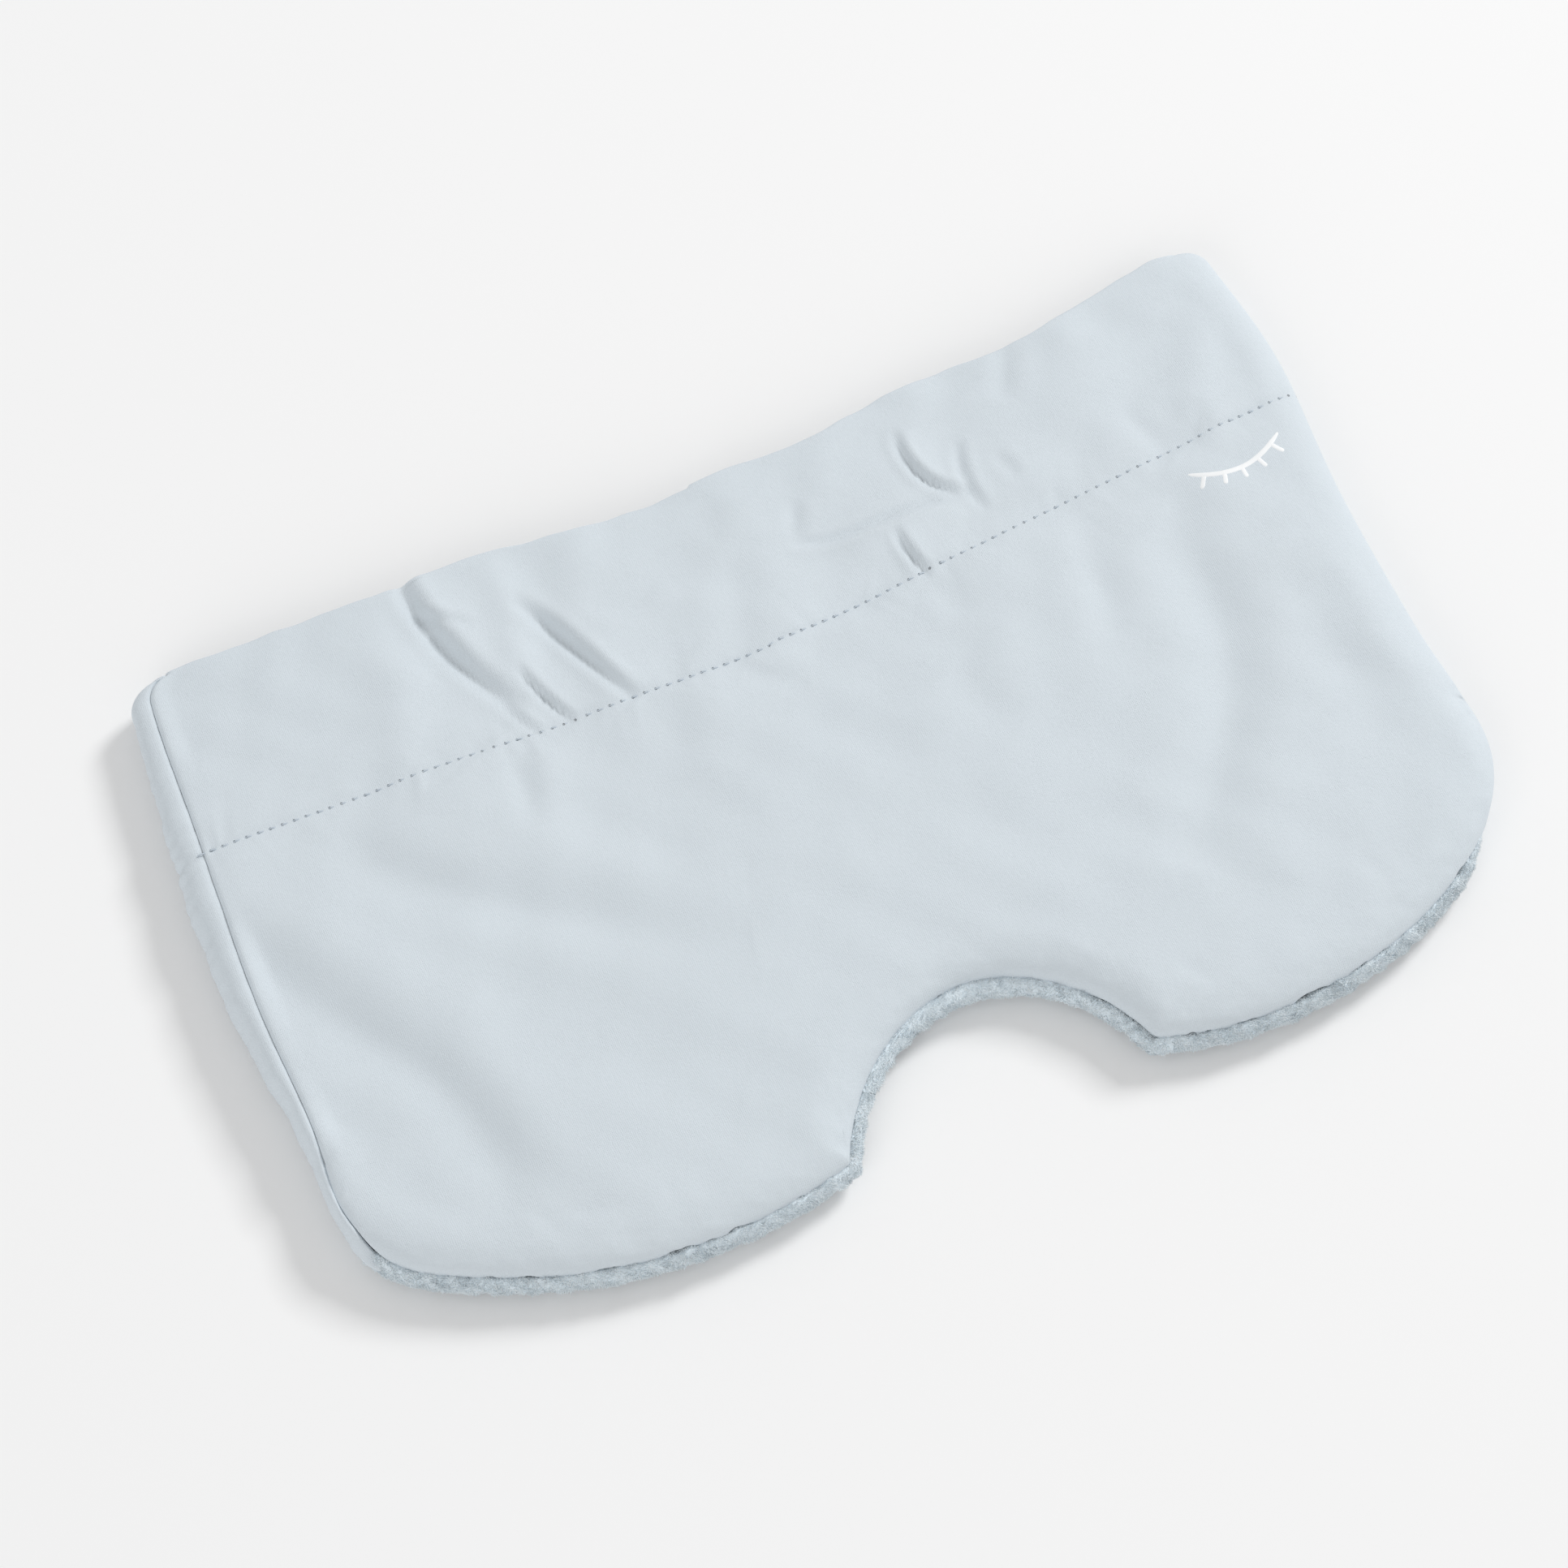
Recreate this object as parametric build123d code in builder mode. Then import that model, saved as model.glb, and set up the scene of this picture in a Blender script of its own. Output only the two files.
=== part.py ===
from build123d import *
import os
from math import asin, cos, degrees, pi, sin, sqrt

# Eye pillow: a sewn cover with an open mouth, and a weighted insert that slides in and out of it.
# +X runs across the eyes, +Y points from the nose arch to the mouth, +Z is up, away from the plush back.
# The origin is under the middle of the outline, on the face that the pillow rests on. Millimetres.

# ---- outline of the cover -------------------------------------------------------------------------------
width = 250.0                    # across the side strips
height = 160.0                   # from the lobes to the mouth
thickness = 14.0                 # back to front
half_width = width / 2
mouth_y = height / 2
lobe_y = -height / 2
lobe_x = 57.0                    # lowest point of each lobe
lobe_radius = 100.0
corner_radius = 38.0             # lower outer corners
nose_radius = 30.0               # arch over the nose
nose_depth = 26.5
nose_corner_radius = 5.0
mouth_corner_radius = 8.0
edge_round = 4.0                 # rolled edge all round the cover
beyond = 10.0                    # how far helper shapes reach past the cover

# ---- fabrics --------------------------------------------------------------------------------------------
front_cloth = 0.8
back_cloth = 2.0                 # ground cloth and short pile
side_cloth = 1.2
hem_cloth = 0.5                  # second layer of each hem
hem_depth = 40.0
hem_margin = 7.0                 # hem layer stops this far short of the side strips
hem_fold = 0.5                   # hem layer starts this far inside the fold
inner_round = 3.0
strip_low = 3.5                  # side strips: lower and upper seam
strip_high = 10.5
seam_z = 7.0                     # bottom seam, where front and back meet

# ---- stitches -------------------------------------------------------------------------------------------
stitch_pitch = 2.4
stitch_length = 1.7
thread = 0.4
hem_stitches = 100
groove_depth = 0.45              # the pull of the thread leaves a groove in the cloth
groove_width = 0.8
stitch_play = 0.02
seam_pitch = 3.0
seam_stitch = 2.0
seam_gap = 0.15                  # between a hidden seam's thread and the cloth beside it

# ---- printed motif --------------------------------------------------------------------------------------
motif_x = 104.0
motif_y = 30.0
motif_width = 22.0
motif_sag = 4.0
lid_line = 1.0
lash_length = 3.2
lash_line = 0.8
lash_count = 5
lash_spread = 15.0               # degrees from lash to lash
ink = 0.1

# ---- insert ---------------------------------------------------------------------------------------------
insert_gap = 2.5                 # between the insert's edge and the side strips
insert_top = 56.0
insert_low = 3.0
insert_high = 12.2
insert_corner = 12.0
insert_round = 3.5
ply = 0.6
channel_x = 40.0                 # the two sewn channels
channel_width = 3.0
web = 1.6                        # both plies, sewn flat at a channel
fill_gap = 0.15
fill_inset = 1.7                 # room for the seam round the insert
fill_flat = 0.4                  # flat left on the side of each chamber
web_overlap = 3.0                # webs reach this far into the chambers beside them

hem_y = mouth_y - hem_depth
strip_seams = (5.4, 9.6)         # rows of stitches inside each side strip
channel_foot = -69.0
channel_head = 51.5
cavity_low = back_cloth
cavity_high = thickness - front_cloth
insert_mid = (insert_low + insert_high) / 2
corner_x = half_width - corner_radius
lobe_centre_y = lobe_y + lobe_radius
corner_y = lobe_centre_y - sqrt((lobe_radius - corner_radius) ** 2 - (corner_x - lobe_x) ** 2)
nose_centre_y = lobe_y + nose_depth - nose_radius
close = 0.01                     # places nearer than this are taken as the same


def outline(inset=0.0, top=mouth_y, top_corner=0.0):
    """Lobed outline, moved in by inset along the sides and bottom, and closed by a straight top edge."""
    reach = lobe_radius - inset
    side = half_width - inset
    bend = corner_radius - inset
    nose = nose_radius + inset
    towards_x = (corner_x - lobe_x) / (lobe_radius - corner_radius)
    towards_y = (corner_y - lobe_centre_y) / (lobe_radius - corner_radius)
    joint = (lobe_x + reach * towards_x, lobe_centre_y + reach * towards_y)
    bend_mid = (corner_x + bend * cos(pi / 6), corner_y - bend * sin(pi / 6))

    # where the lobe's arc meets the nose arch: the crossing of the two circles
    span_x = lobe_x
    span_y = lobe_centre_y - nose_centre_y
    span = sqrt(span_x ** 2 + span_y ** 2)
    along = (nose ** 2 - reach ** 2 + span ** 2) / (2 * span)
    across = sqrt(nose ** 2 - along ** 2)
    cusp_x = (along * span_x + across * span_y) / span
    cusp_y = nose_centre_y + (along * span_y - across * span_x) / span
    with BuildSketch() as shape:
        with BuildLine():
            Line((0, top), (side, top))
            Line((side, top), (side, corner_y))
            ThreePointArc((side, corner_y), bend_mid, joint)
            ThreePointArc(joint, (lobe_x, lobe_centre_y - reach), (cusp_x, cusp_y))
            ThreePointArc(
                (cusp_x, cusp_y),
                (nose * sin(pi / 8), nose_centre_y + nose * cos(pi / 8)),
                (0, nose_centre_y + nose),
            )
            mirror(about=Plane.YZ)
        make_face()
        cusps = shape.vertices().filter_by(lambda corner: abs(abs(corner.X) - cusp_x) < close)
        fillet(cusps, radius=nose_corner_radius)
        if top_corner:
            fillet(shape.vertices().group_by(Axis.Y)[-1], radius=top_corner)
    return shape.sketch


def rolled_block(inset, low, high, top, rounding):
    """Prism on the outline with its lower and upper edges rounded, apart from the mouth's."""
    with BuildPart() as block:
        with BuildSketch(Plane.XY.offset(low)):
            add(outline(inset, top))
        extrude(amount=high - low)
        rims = block.edges().group_by(Axis.Z)[0] + block.edges().group_by(Axis.Z)[-1]
        fillet([edge for edge in rims if edge.center().Y < top - close], radius=rounding)
    return block.part


def slice_between(low, high):
    """Region between two heights, all over the pillow."""
    with BuildPart() as region:
        with BuildSketch(Plane.XY.offset(low)):
            Rectangle(width + 2 * beyond, height + 2 * beyond)
        extrude(amount=high - low)
    return region.part


def strip_region(side):
    """Where one side strip is: side is -1 for left and 1 for right."""
    reach = mouth_y - corner_y + beyond
    with BuildPart() as region:
        with BuildSketch(Plane.XY.offset(strip_low)):
            with Locations((side * half_width, corner_y + reach / 2)):
                Rectangle(2 * edge_round, reach)
        extrude(amount=strip_high - strip_low)
    return region.part


def hem_row(low):
    """One row of hem stitches."""
    with BuildPart() as row:
        with BuildSketch(Plane.XY.offset(low)):
            with Locations((0, hem_y)):
                with GridLocations(stitch_pitch, 1, hem_stitches, 1):
                    Rectangle(stitch_length, thread)
        extrude(amount=thread)
    return row.part


def hem_groove(low):
    """Groove that the hem's stitches are pulled into."""
    with BuildPart() as groove:
        with BuildSketch(Plane.XY.offset(low)):
            with Locations((0, hem_y)):
                Rectangle(hem_stitches * stitch_pitch, groove_width)
        extrude(amount=groove_depth)
    return groove.part


def hem_layer(low):
    """Turned-in second layer of a hem, inside the mouth."""
    with BuildPart() as layer:
        with BuildSketch(Plane.XY.offset(low)):
            with Locations((0, mouth_y - hem_fold - hem_depth / 2)):
                Rectangle(width - 2 * hem_margin, hem_depth)
        extrude(amount=hem_cloth)
    return layer.part


def seam_row(paths, levels, gaps=()):
    """Stitches spaced evenly along each path, one row at each height in levels, none near the x in gaps."""
    places = []
    for path in paths:
        count = max(1, int(path.length / seam_pitch))
        for index in range(count):
            foot = path.position_at((index + 0.5) / count)
            along = path.tangent_at((index + 0.5) / count)
            if all(abs(foot.X - x) >= channel_width + seam_stitch for x in gaps):
                planes = [Plane(origin=(foot.X, foot.Y, z), x_dir=along, z_dir=(0, 0, 1)) for z in levels]
                places += [Location(plane) for plane in planes]
    with BuildPart() as row:
        with Locations(*places):
            Box(seam_stitch, thread, thread)
    return row.part


def side_path(side):
    """Line along the inner face of a side strip, from its lower end to the mouth."""
    x = side * (half_width - side_cloth - thread / 2)
    with BuildLine() as path:
        Line((x, corner_y + seam_pitch), (x, mouth_y - seam_pitch))
    return path.edges()


def channel_path(x):
    """Line along one sewn channel of the insert."""
    with BuildLine() as path:
        Line((x, channel_foot), (x, channel_head))
    return path.edges()


def motif(level):
    """Closed eyelid: one thin arc with short lashes fanned below it."""
    half = motif_width / 2
    radius = (half ** 2 + motif_sag ** 2) / (2 * motif_sag)
    centre = (motif_x, motif_y + radius)
    spread = degrees(asin(half / radius))
    lid = CenterArc(centre, radius, 270 - spread, 2 * spread, mode=Mode.PRIVATE)
    with BuildSketch(Plane.XY.offset(level)) as drawing:
        SlotArc(lid, lid_line)
        for index in range(lash_count):
            turn = 270 + (index - (lash_count - 1) / 2) * lash_spread
            with Locations(centre):
                with PolarLocations(radius + lash_length / 2, 1, start_angle=turn):
                    Rectangle(lash_length, lash_line)
    return drawing.sketch


def pouch(inset, low, high, top):
    """Insert's outline as a rounded slab, moved in by inset from the cover's outline."""
    with BuildPart() as slab:
        with BuildSketch(Plane.XY.offset(low)):
            add(outline(inset, top, insert_corner))
        extrude(amount=high - low)
        rims = slab.edges().group_by(Axis.Z)[0] + slab.edges().group_by(Axis.Z)[-1]
        fillet(rims, radius=insert_round)
    return slab.part


def chamber(left, right, margin):
    """One chamber between two channels: a bar along Y with rounded long edges."""
    tall = insert_high - insert_low - 2 * margin
    with BuildPart() as bar:
        with BuildSketch(Plane.XZ):
            with Locations(((left + right) / 2, insert_mid)):
                RectangleRounded(right - left - 2 * margin, tall, (tall - fill_flat) / 2)
        extrude(amount=height, both=True)
    return bar.part


def chambers(margin):
    """All three chambers, left to right."""
    inner = channel_x - channel_width / 2
    outer = channel_x + channel_width / 2
    past = half_width + beyond
    return [chamber(-past, -outer, margin), chamber(-inner, inner, margin), chamber(outer, past, margin)]


def webs():
    """The two strips where both plies of the insert are sewn flat."""
    with BuildPart() as strips:
        with BuildSketch(Plane.XY.offset(insert_mid - web / 2)):
            with GridLocations(2 * channel_x, 1, 2, 1):
                Rectangle(channel_width + 2 * web_overlap, 2 * height)
        extrude(amount=web)
    return strips.part


# ---- cover ----------------------------------------------------------------------------------------------
outer_block = rolled_block(0, 0, thickness, mouth_y, edge_round)
cavity = rolled_block(side_cloth, cavity_low, cavity_high, mouth_y + beyond, inner_round)

with BuildPart() as mouth_shape:
    with BuildSketch():
        add(outline(0, mouth_y, mouth_corner_radius))
    extrude(amount=thickness)

with BuildPart() as shell:
    add(outer_block)
    add(cavity, mode=Mode.SUBTRACT)
    add(mouth_shape.part, mode=Mode.INTERSECT)

left_region = strip_region(-1)
right_region = strip_region(1)

with BuildPart() as left_gusset:
    add(shell.part)
    add(left_region, mode=Mode.INTERSECT)

with BuildPart() as right_gusset:
    add(shell.part)
    add(right_region, mode=Mode.INTERSECT)

with BuildPart() as front_panel:
    add(shell.part)
    add(slice_between(seam_z, thickness + beyond), mode=Mode.INTERSECT)
    add(left_region, mode=Mode.SUBTRACT)
    add(right_region, mode=Mode.SUBTRACT)
    add(hem_layer(cavity_high - hem_cloth))
    add(hem_groove(thickness - groove_depth), mode=Mode.SUBTRACT)
    add(motif(thickness - ink))
    extrude(amount=ink, mode=Mode.SUBTRACT)

with BuildPart() as back_panel:
    add(shell.part)
    add(slice_between(-beyond, seam_z), mode=Mode.INTERSECT)
    add(left_region, mode=Mode.SUBTRACT)
    add(right_region, mode=Mode.SUBTRACT)
    add(hem_layer(cavity_low))
    add(hem_groove(0), mode=Mode.SUBTRACT)

with BuildPart() as front_hem_stitching:
    add(hem_row(thickness - groove_depth + stitch_play))

with BuildPart() as back_hem_stitching:
    add(hem_row(groove_depth - stitch_play - thread))

with BuildPart() as left_seam_stitching:
    add(seam_row(side_path(-1), strip_seams))

with BuildPart() as right_seam_stitching:
    add(seam_row(side_path(1), strip_seams))

bottom_outline = outline(side_cloth + seam_gap + thread / 2)
with BuildPart() as bottom_seam_stitching:
    add(seam_row(bottom_outline.edges().filter_by(lambda edge: edge.center().Y < corner_y), [seam_z]))

with BuildPart() as printed_motif:
    add(motif(thickness - ink))
    extrude(amount=ink)

# ---- insert ---------------------------------------------------------------------------------------------
insert_inset = side_cloth + insert_gap
insert_block = pouch(insert_inset, insert_low, insert_high, insert_top)
hollow_block = pouch(insert_inset + ply, insert_low + ply, insert_high - ply, insert_top - ply)
fill_block = pouch(
    insert_inset + fill_inset,
    insert_low + ply + fill_gap,
    insert_high - ply - fill_gap,
    insert_top - fill_inset,
)

with BuildPart() as quilting:
    add(chambers(0))
    add(webs())

with BuildPart() as hollows:
    add(chambers(ply))
    add(hollow_block, mode=Mode.INTERSECT)

with BuildPart() as insert_shell:
    add(insert_block)
    add(quilting.part, mode=Mode.INTERSECT)
    add(hollows.part, mode=Mode.SUBTRACT)

with BuildPart() as insert_front:
    add(insert_shell.part)
    add(slice_between(insert_mid, thickness), mode=Mode.INTERSECT)

with BuildPart() as insert_back:
    add(insert_shell.part)
    add(slice_between(0, insert_mid), mode=Mode.INTERSECT)

insert_seam_inset = ply + seam_gap + thread / 2
insert_outline = outline(insert_inset + insert_seam_inset, insert_top - insert_seam_inset, insert_corner)
with BuildPart() as insert_seam_stitching:
    add(seam_row(insert_outline.edges(), [insert_mid], (-channel_x, channel_x)))

web_faces = [insert_mid - web / 2 - thread / 2, insert_mid + web / 2 + thread / 2]
with BuildPart() as insert_channel_stitching:
    add(seam_row(channel_path(-channel_x) + channel_path(channel_x), web_faces))

fill_left_bar, fill_centre_bar, fill_right_bar = chambers(ply + fill_gap)

with BuildPart() as fill_left:
    add(fill_left_bar)
    add(fill_block, mode=Mode.INTERSECT)

with BuildPart() as fill_centre:
    add(fill_centre_bar)
    add(fill_block, mode=Mode.INTERSECT)

with BuildPart() as fill_right:
    add(fill_right_bar)
    add(fill_block, mode=Mode.INTERSECT)

# ---- one file for each piece ----------------------------------------------------------------------------
pieces = {
    "front_panel": front_panel,
    "back_panel": back_panel,
    "left_gusset": left_gusset,
    "right_gusset": right_gusset,
    "front_hem_stitching": front_hem_stitching,
    "back_hem_stitching": back_hem_stitching,
    "left_seam_stitching": left_seam_stitching,
    "right_seam_stitching": right_seam_stitching,
    "bottom_seam_stitching": bottom_seam_stitching,
    "printed_motif": printed_motif,
    "insert_front": insert_front,
    "insert_back": insert_back,
    "insert_seam_stitching": insert_seam_stitching,
    "insert_channel_stitching": insert_channel_stitching,
    "fill_left": fill_left,
    "fill_centre": fill_centre,
    "fill_right": fill_right,
}

os.makedirs("parts", exist_ok=True)
for name, piece in pieces.items():
    piece.part.label = name
    export_step(piece.part, f"parts/{name}.step")
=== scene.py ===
"""Eye pillow: a sewn cover, smooth in front and plush behind, with a padded insert inside its open mouth.

Lengths inside the shape functions are in millimetres. p and q are a place on the flat pattern, across and
up; x, y and z are where that place of the cloth lies. A mesh is turned into metres when it is made.
"""
import bpy
import numpy as np
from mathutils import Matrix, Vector


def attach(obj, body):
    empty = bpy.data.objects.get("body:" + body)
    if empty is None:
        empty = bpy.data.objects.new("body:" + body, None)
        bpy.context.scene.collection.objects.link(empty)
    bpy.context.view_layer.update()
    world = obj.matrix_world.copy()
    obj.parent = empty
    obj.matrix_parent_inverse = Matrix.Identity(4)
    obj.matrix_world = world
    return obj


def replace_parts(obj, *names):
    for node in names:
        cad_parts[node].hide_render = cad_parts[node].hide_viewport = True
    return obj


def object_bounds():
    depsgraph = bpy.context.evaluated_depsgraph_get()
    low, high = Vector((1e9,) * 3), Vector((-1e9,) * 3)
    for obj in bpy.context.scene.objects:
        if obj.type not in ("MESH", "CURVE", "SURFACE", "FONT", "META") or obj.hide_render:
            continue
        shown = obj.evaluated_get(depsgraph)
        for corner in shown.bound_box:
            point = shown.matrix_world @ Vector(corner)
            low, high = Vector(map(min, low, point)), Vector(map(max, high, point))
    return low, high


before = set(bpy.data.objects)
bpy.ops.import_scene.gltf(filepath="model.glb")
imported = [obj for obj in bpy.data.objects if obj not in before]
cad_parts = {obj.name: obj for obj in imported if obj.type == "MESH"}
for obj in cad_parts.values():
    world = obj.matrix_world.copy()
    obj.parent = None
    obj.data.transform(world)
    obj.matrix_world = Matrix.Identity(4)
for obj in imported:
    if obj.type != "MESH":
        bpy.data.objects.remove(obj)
cad_low, cad_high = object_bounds()
MM = 0.001

# ---- the pattern, from the bounds of model.glb ----------------------------------------------------------
HALF = cad_high.x / MM                  # half the width, across the side strips
MOUTH = cad_high.y / MM                 # the mouth's straight edge
LOBE_LOW = -MOUTH                       # the lobes' lowest points
LOBE_X, LOBE_R = 57.0, 100.0
CORNER_R = 38.0
NOSE_R, NOSE_DEPTH = 30.0, 26.5
CORNER_X = HALF - CORNER_R
LOBE_Y = LOBE_LOW + LOBE_R
CORNER_Y = LOBE_Y - np.sqrt((LOBE_R - CORNER_R) ** 2 - (CORNER_X - LOBE_X) ** 2)
JOIN = np.array([CORNER_X - LOBE_X, CORNER_Y - LOBE_Y]) / (LOBE_R - CORNER_R)
NOSE_Y = LOBE_LOW + NOSE_DEPTH - NOSE_R
CUSP_X = 29.2                           # where the nose arch meets the lobes
STRIP_LOW = -57.5                       # where the left side strip starts

# ---- the cloth ------------------------------------------------------------------------------------------
HEM = 39.8                              # from the mouth's fold to the hem's stitches
FOLD = 0.9                              # half the thickness of the fold at the mouth
RIM = 1.65                              # the plush rim outside the bottom seam
ARCH_RIM = 1.15                         # how much wider it is at the top of the nose arch
SEAM_Z = 6.7                            # height of the bottom seam
TOP_Z = 12.0                            # height of the filled part
STITCH_PITCH = 2.42
STITCH_COUNT = 100
MOUTH_LOW = 69.2                        # where the middle of the mouth's fold lies
LEFT_SLOPE, RIGHT_SLOPE = 0.048, 0.083  # how the mouth climbs to both sides
STRIP_INSET = 2.4                       # where the strips meet the plush back, inside the outline
SIDE_RISE = 2.2                         # how far the plush back turns up there
BACK_HEM_ROWS = 21                      # rows of the plush back's inner hem


# ---- small helpers --------------------------------------------------------------------------------------
def ramp(value, low, high):
    """0 below low, 1 above high, and a smooth s-curve between them."""
    t = np.clip((value - low) / (high - low), 0.0, 1.0)
    return t * t * (3.0 - 2.0 * t)


def bump(value, centre, width):
    """A bell curve of height 1."""
    return np.exp(-(((value - centre) / width) ** 2))


def rolled(distance, radius):
    """Quarter of an ellipse: 0 at the edge, upright there, and 1 from radius inwards."""
    t = np.clip(distance / radius, 0.0, 1.0)
    return np.sqrt(np.clip(1.0 - (1.0 - t) ** 2, 0.0, 1.0))


def swell(x, y, size, seed, waves=10):
    """Uneven swell of about one unit: a sum of cosine waves near one length, each with its own heading."""
    draw = np.random.default_rng(seed)
    total = np.zeros(np.broadcast(x, y).shape)
    for heading, stretch, phase in zip(
        draw.uniform(0, np.pi, waves), draw.uniform(0.7, 1.5, waves), draw.uniform(0, 2 * np.pi, waves)
    ):
        wave = 2 * np.pi / (size * stretch)
        total += np.cos(wave * (x * np.cos(heading) + y * np.sin(heading)) + phase)
    return total / np.sqrt(waves / 2)


def spaced(low, high, count, fine):
    """count values from low to high, closer together near each (centre, reach, closeness) of fine."""
    line = np.linspace(low, high, 20001)
    step = np.ones_like(line)
    for centre, reach, closeness in fine:
        step *= 1.0 - closeness * bump(line, centre, reach)
    walked = np.concatenate([[0.0], np.cumsum(0.5 / step[1:] + 0.5 / step[:-1])])
    return np.interp(np.linspace(0, walked[-1], count), walked, line)


# ---- outline of the pattern -----------------------------------------------------------------------------
def lower_edge(p, inset=0.0):
    """Height of the pattern's lower edge: the corner's arc, the lobe's arc or the nose arch."""
    a = np.minimum(np.abs(p), HALF - inset)
    lobe = LOBE_Y - np.sqrt(np.maximum((LOBE_R - inset) ** 2 - (a - LOBE_X) ** 2, 0.0))
    corner = CORNER_Y - np.sqrt(np.maximum((CORNER_R - inset) ** 2 - (a - CORNER_X) ** 2, 0.0))
    arch = NOSE_Y + np.sqrt(np.maximum((NOSE_R + inset) ** 2 - a ** 2, 0.0))
    edge = np.where(a > LOBE_X + JOIN[0] * (LOBE_R - inset), corner, lobe)
    return np.where(a < NOSE_R + inset, np.maximum(edge, arch), edge)


def from_bottom(p, q):
    """Distance from the corners, lobes and nose arch, the nearest of the circles that make them."""
    a = np.abs(p)
    lobe = LOBE_R - np.hypot(a - LOBE_X, np.minimum(q - LOBE_Y, 0.0))
    off_x, off_y = a - CORNER_X, q - CORNER_Y
    on_corner = (off_x > 0) & (JOIN[0] * off_y - JOIN[1] * off_x > 0) & (off_y < 0)
    lobe = np.where(on_corner, CORNER_R - np.hypot(off_x, off_y), lobe)
    beside = (off_x > 0) & (off_y >= 0)
    lobe = np.where(beside, np.hypot(np.maximum(HALF - a, 0.0), 1.2 * off_y), lobe)
    return np.minimum(lobe, np.hypot(p, q - NOSE_Y) - NOSE_R)


def side_edge(q):
    """Half the pattern's width at q, with the lower corners' arcs."""
    low = CORNER_X + np.sqrt(np.maximum(CORNER_R ** 2 - (q - CORNER_Y) ** 2, 0.0))
    return np.where(q > CORNER_Y, HALF, low)


def inward(p, q):
    """Direction on the pattern away from the bottom edge."""
    step = 0.05
    slope_p = from_bottom(p + step, q) - from_bottom(p - step, q)
    slope_q = from_bottom(p, q + step) - from_bottom(p, q - step)
    long = np.maximum(np.hypot(slope_p, slope_q), 1e-9)
    return slope_p / long, slope_q / long


# ---- how the pattern lies -------------------------------------------------------------------------------
def mouth_rise(x):
    """How much higher the mouth and its hem lie at the sides than in the middle."""
    span = np.sqrt(x ** 2 + 15.0 ** 2)
    return span * np.where(x < 0, LEFT_SLOPE, RIGHT_SLOPE)


def mouth_line(x):
    """The mouth's fold as it lies: lowest in the middle, higher to the right, with a hump left of it."""
    line = MOUTH_LOW + mouth_rise(x)
    line = line + 0.7 * bump(x, -80, 25) + 1.9 * ramp(x, 88, 118)
    line = line - 2.0 * bump(x, 76, 20) - 1.1 * bump(x, 28, 14)
    return line + 2.0 * bump(x, -45, 13) + 0.16 * swell(x, 0 * x, 30, 3) + 0.10 * swell(x, 0 * x, 9, 4)


def side_line(q, left):
    """How far each side lies from the middle: the left bows out, the right is straighter."""
    left_side = HALF - 0.9 * ramp(q, 25, 60) - 4.2 * (np.maximum(q - 15.0, 0.0) / 62.0) ** 2
    left_side = left_side - 3.1 * bump(q, -31, 24)
    right_side = HALF - 4.3 + 3.7 * bump(q, 50, 26) + 2.4 * ramp(-q, 15, 50)
    corner = 4.5 if left else 5.0
    over = np.clip(q - (MOUTH - corner), 0.0, corner)
    return (left_side if left else right_side) - (corner - np.sqrt(corner ** 2 - over ** 2))


def lie(p, q):
    """Where a place of the pattern lies, seen from above."""
    share = (p / HALF + 1.0) / 2.0
    width = side_line(q, True) * (1.0 - share) + side_line(q, False) * share
    x = p * width / HALF + 3.9 * bump(p, 4, 36) * bump(q, -68, 24)
    x = x + 1.4 * (bump(p, 33, 9) - 0.8 * bump(p, -32, 9)) * bump(q, -80, 13)
    raised = 1.4 - 1.4 * p / HALF + 1.2 * bump(p, 8, 22) - 0.6 * bump(p, 95, 25) + 0.3 * bump(p, -55, 20)
    low = q * (1.0 + 0.0175 * p / HALF) + raised * ramp(-q, 15, 62)
    high = mouth_line(x) - (MOUTH - q)
    blend = ramp(q, -14, 38)
    pulled = 1.0 * bump(p, -117, 11) * bump(q, -58, 10)
    return x - pulled, low * (1.0 - blend) + high * blend - pulled


def strip_width(q):
    """Width of the left side strip as it shows: nothing at the lower corner, widest below the hem."""
    grown = np.clip((q + 53.0) / 80.0, 0.0, 1.0) ** 0.7
    width = 0.5 + 5.9 * grown * (1.0 - 0.3 * ramp(q, 35, 78))
    low_end = ramp(-q, 38, 50)
    return width * (1.0 - low_end) + RIM * low_end


def rim_shows(p, q):
    """1 where the plush rim shows outside the front: the lobes and the arch, fading out at both corners."""
    left_end = ramp(-q, 49, 56)
    right_end = ramp(-q, 51, 70)
    return np.where(np.abs(p) < 90, 1.0, np.where(p < 0, left_end, right_end))


def rim_width(p):
    """How far the plush rim reaches outside the bottom seam: widest at the top of the nose arch."""
    return RIM + ARCH_RIM * bump(p, 3, 14)


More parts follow.
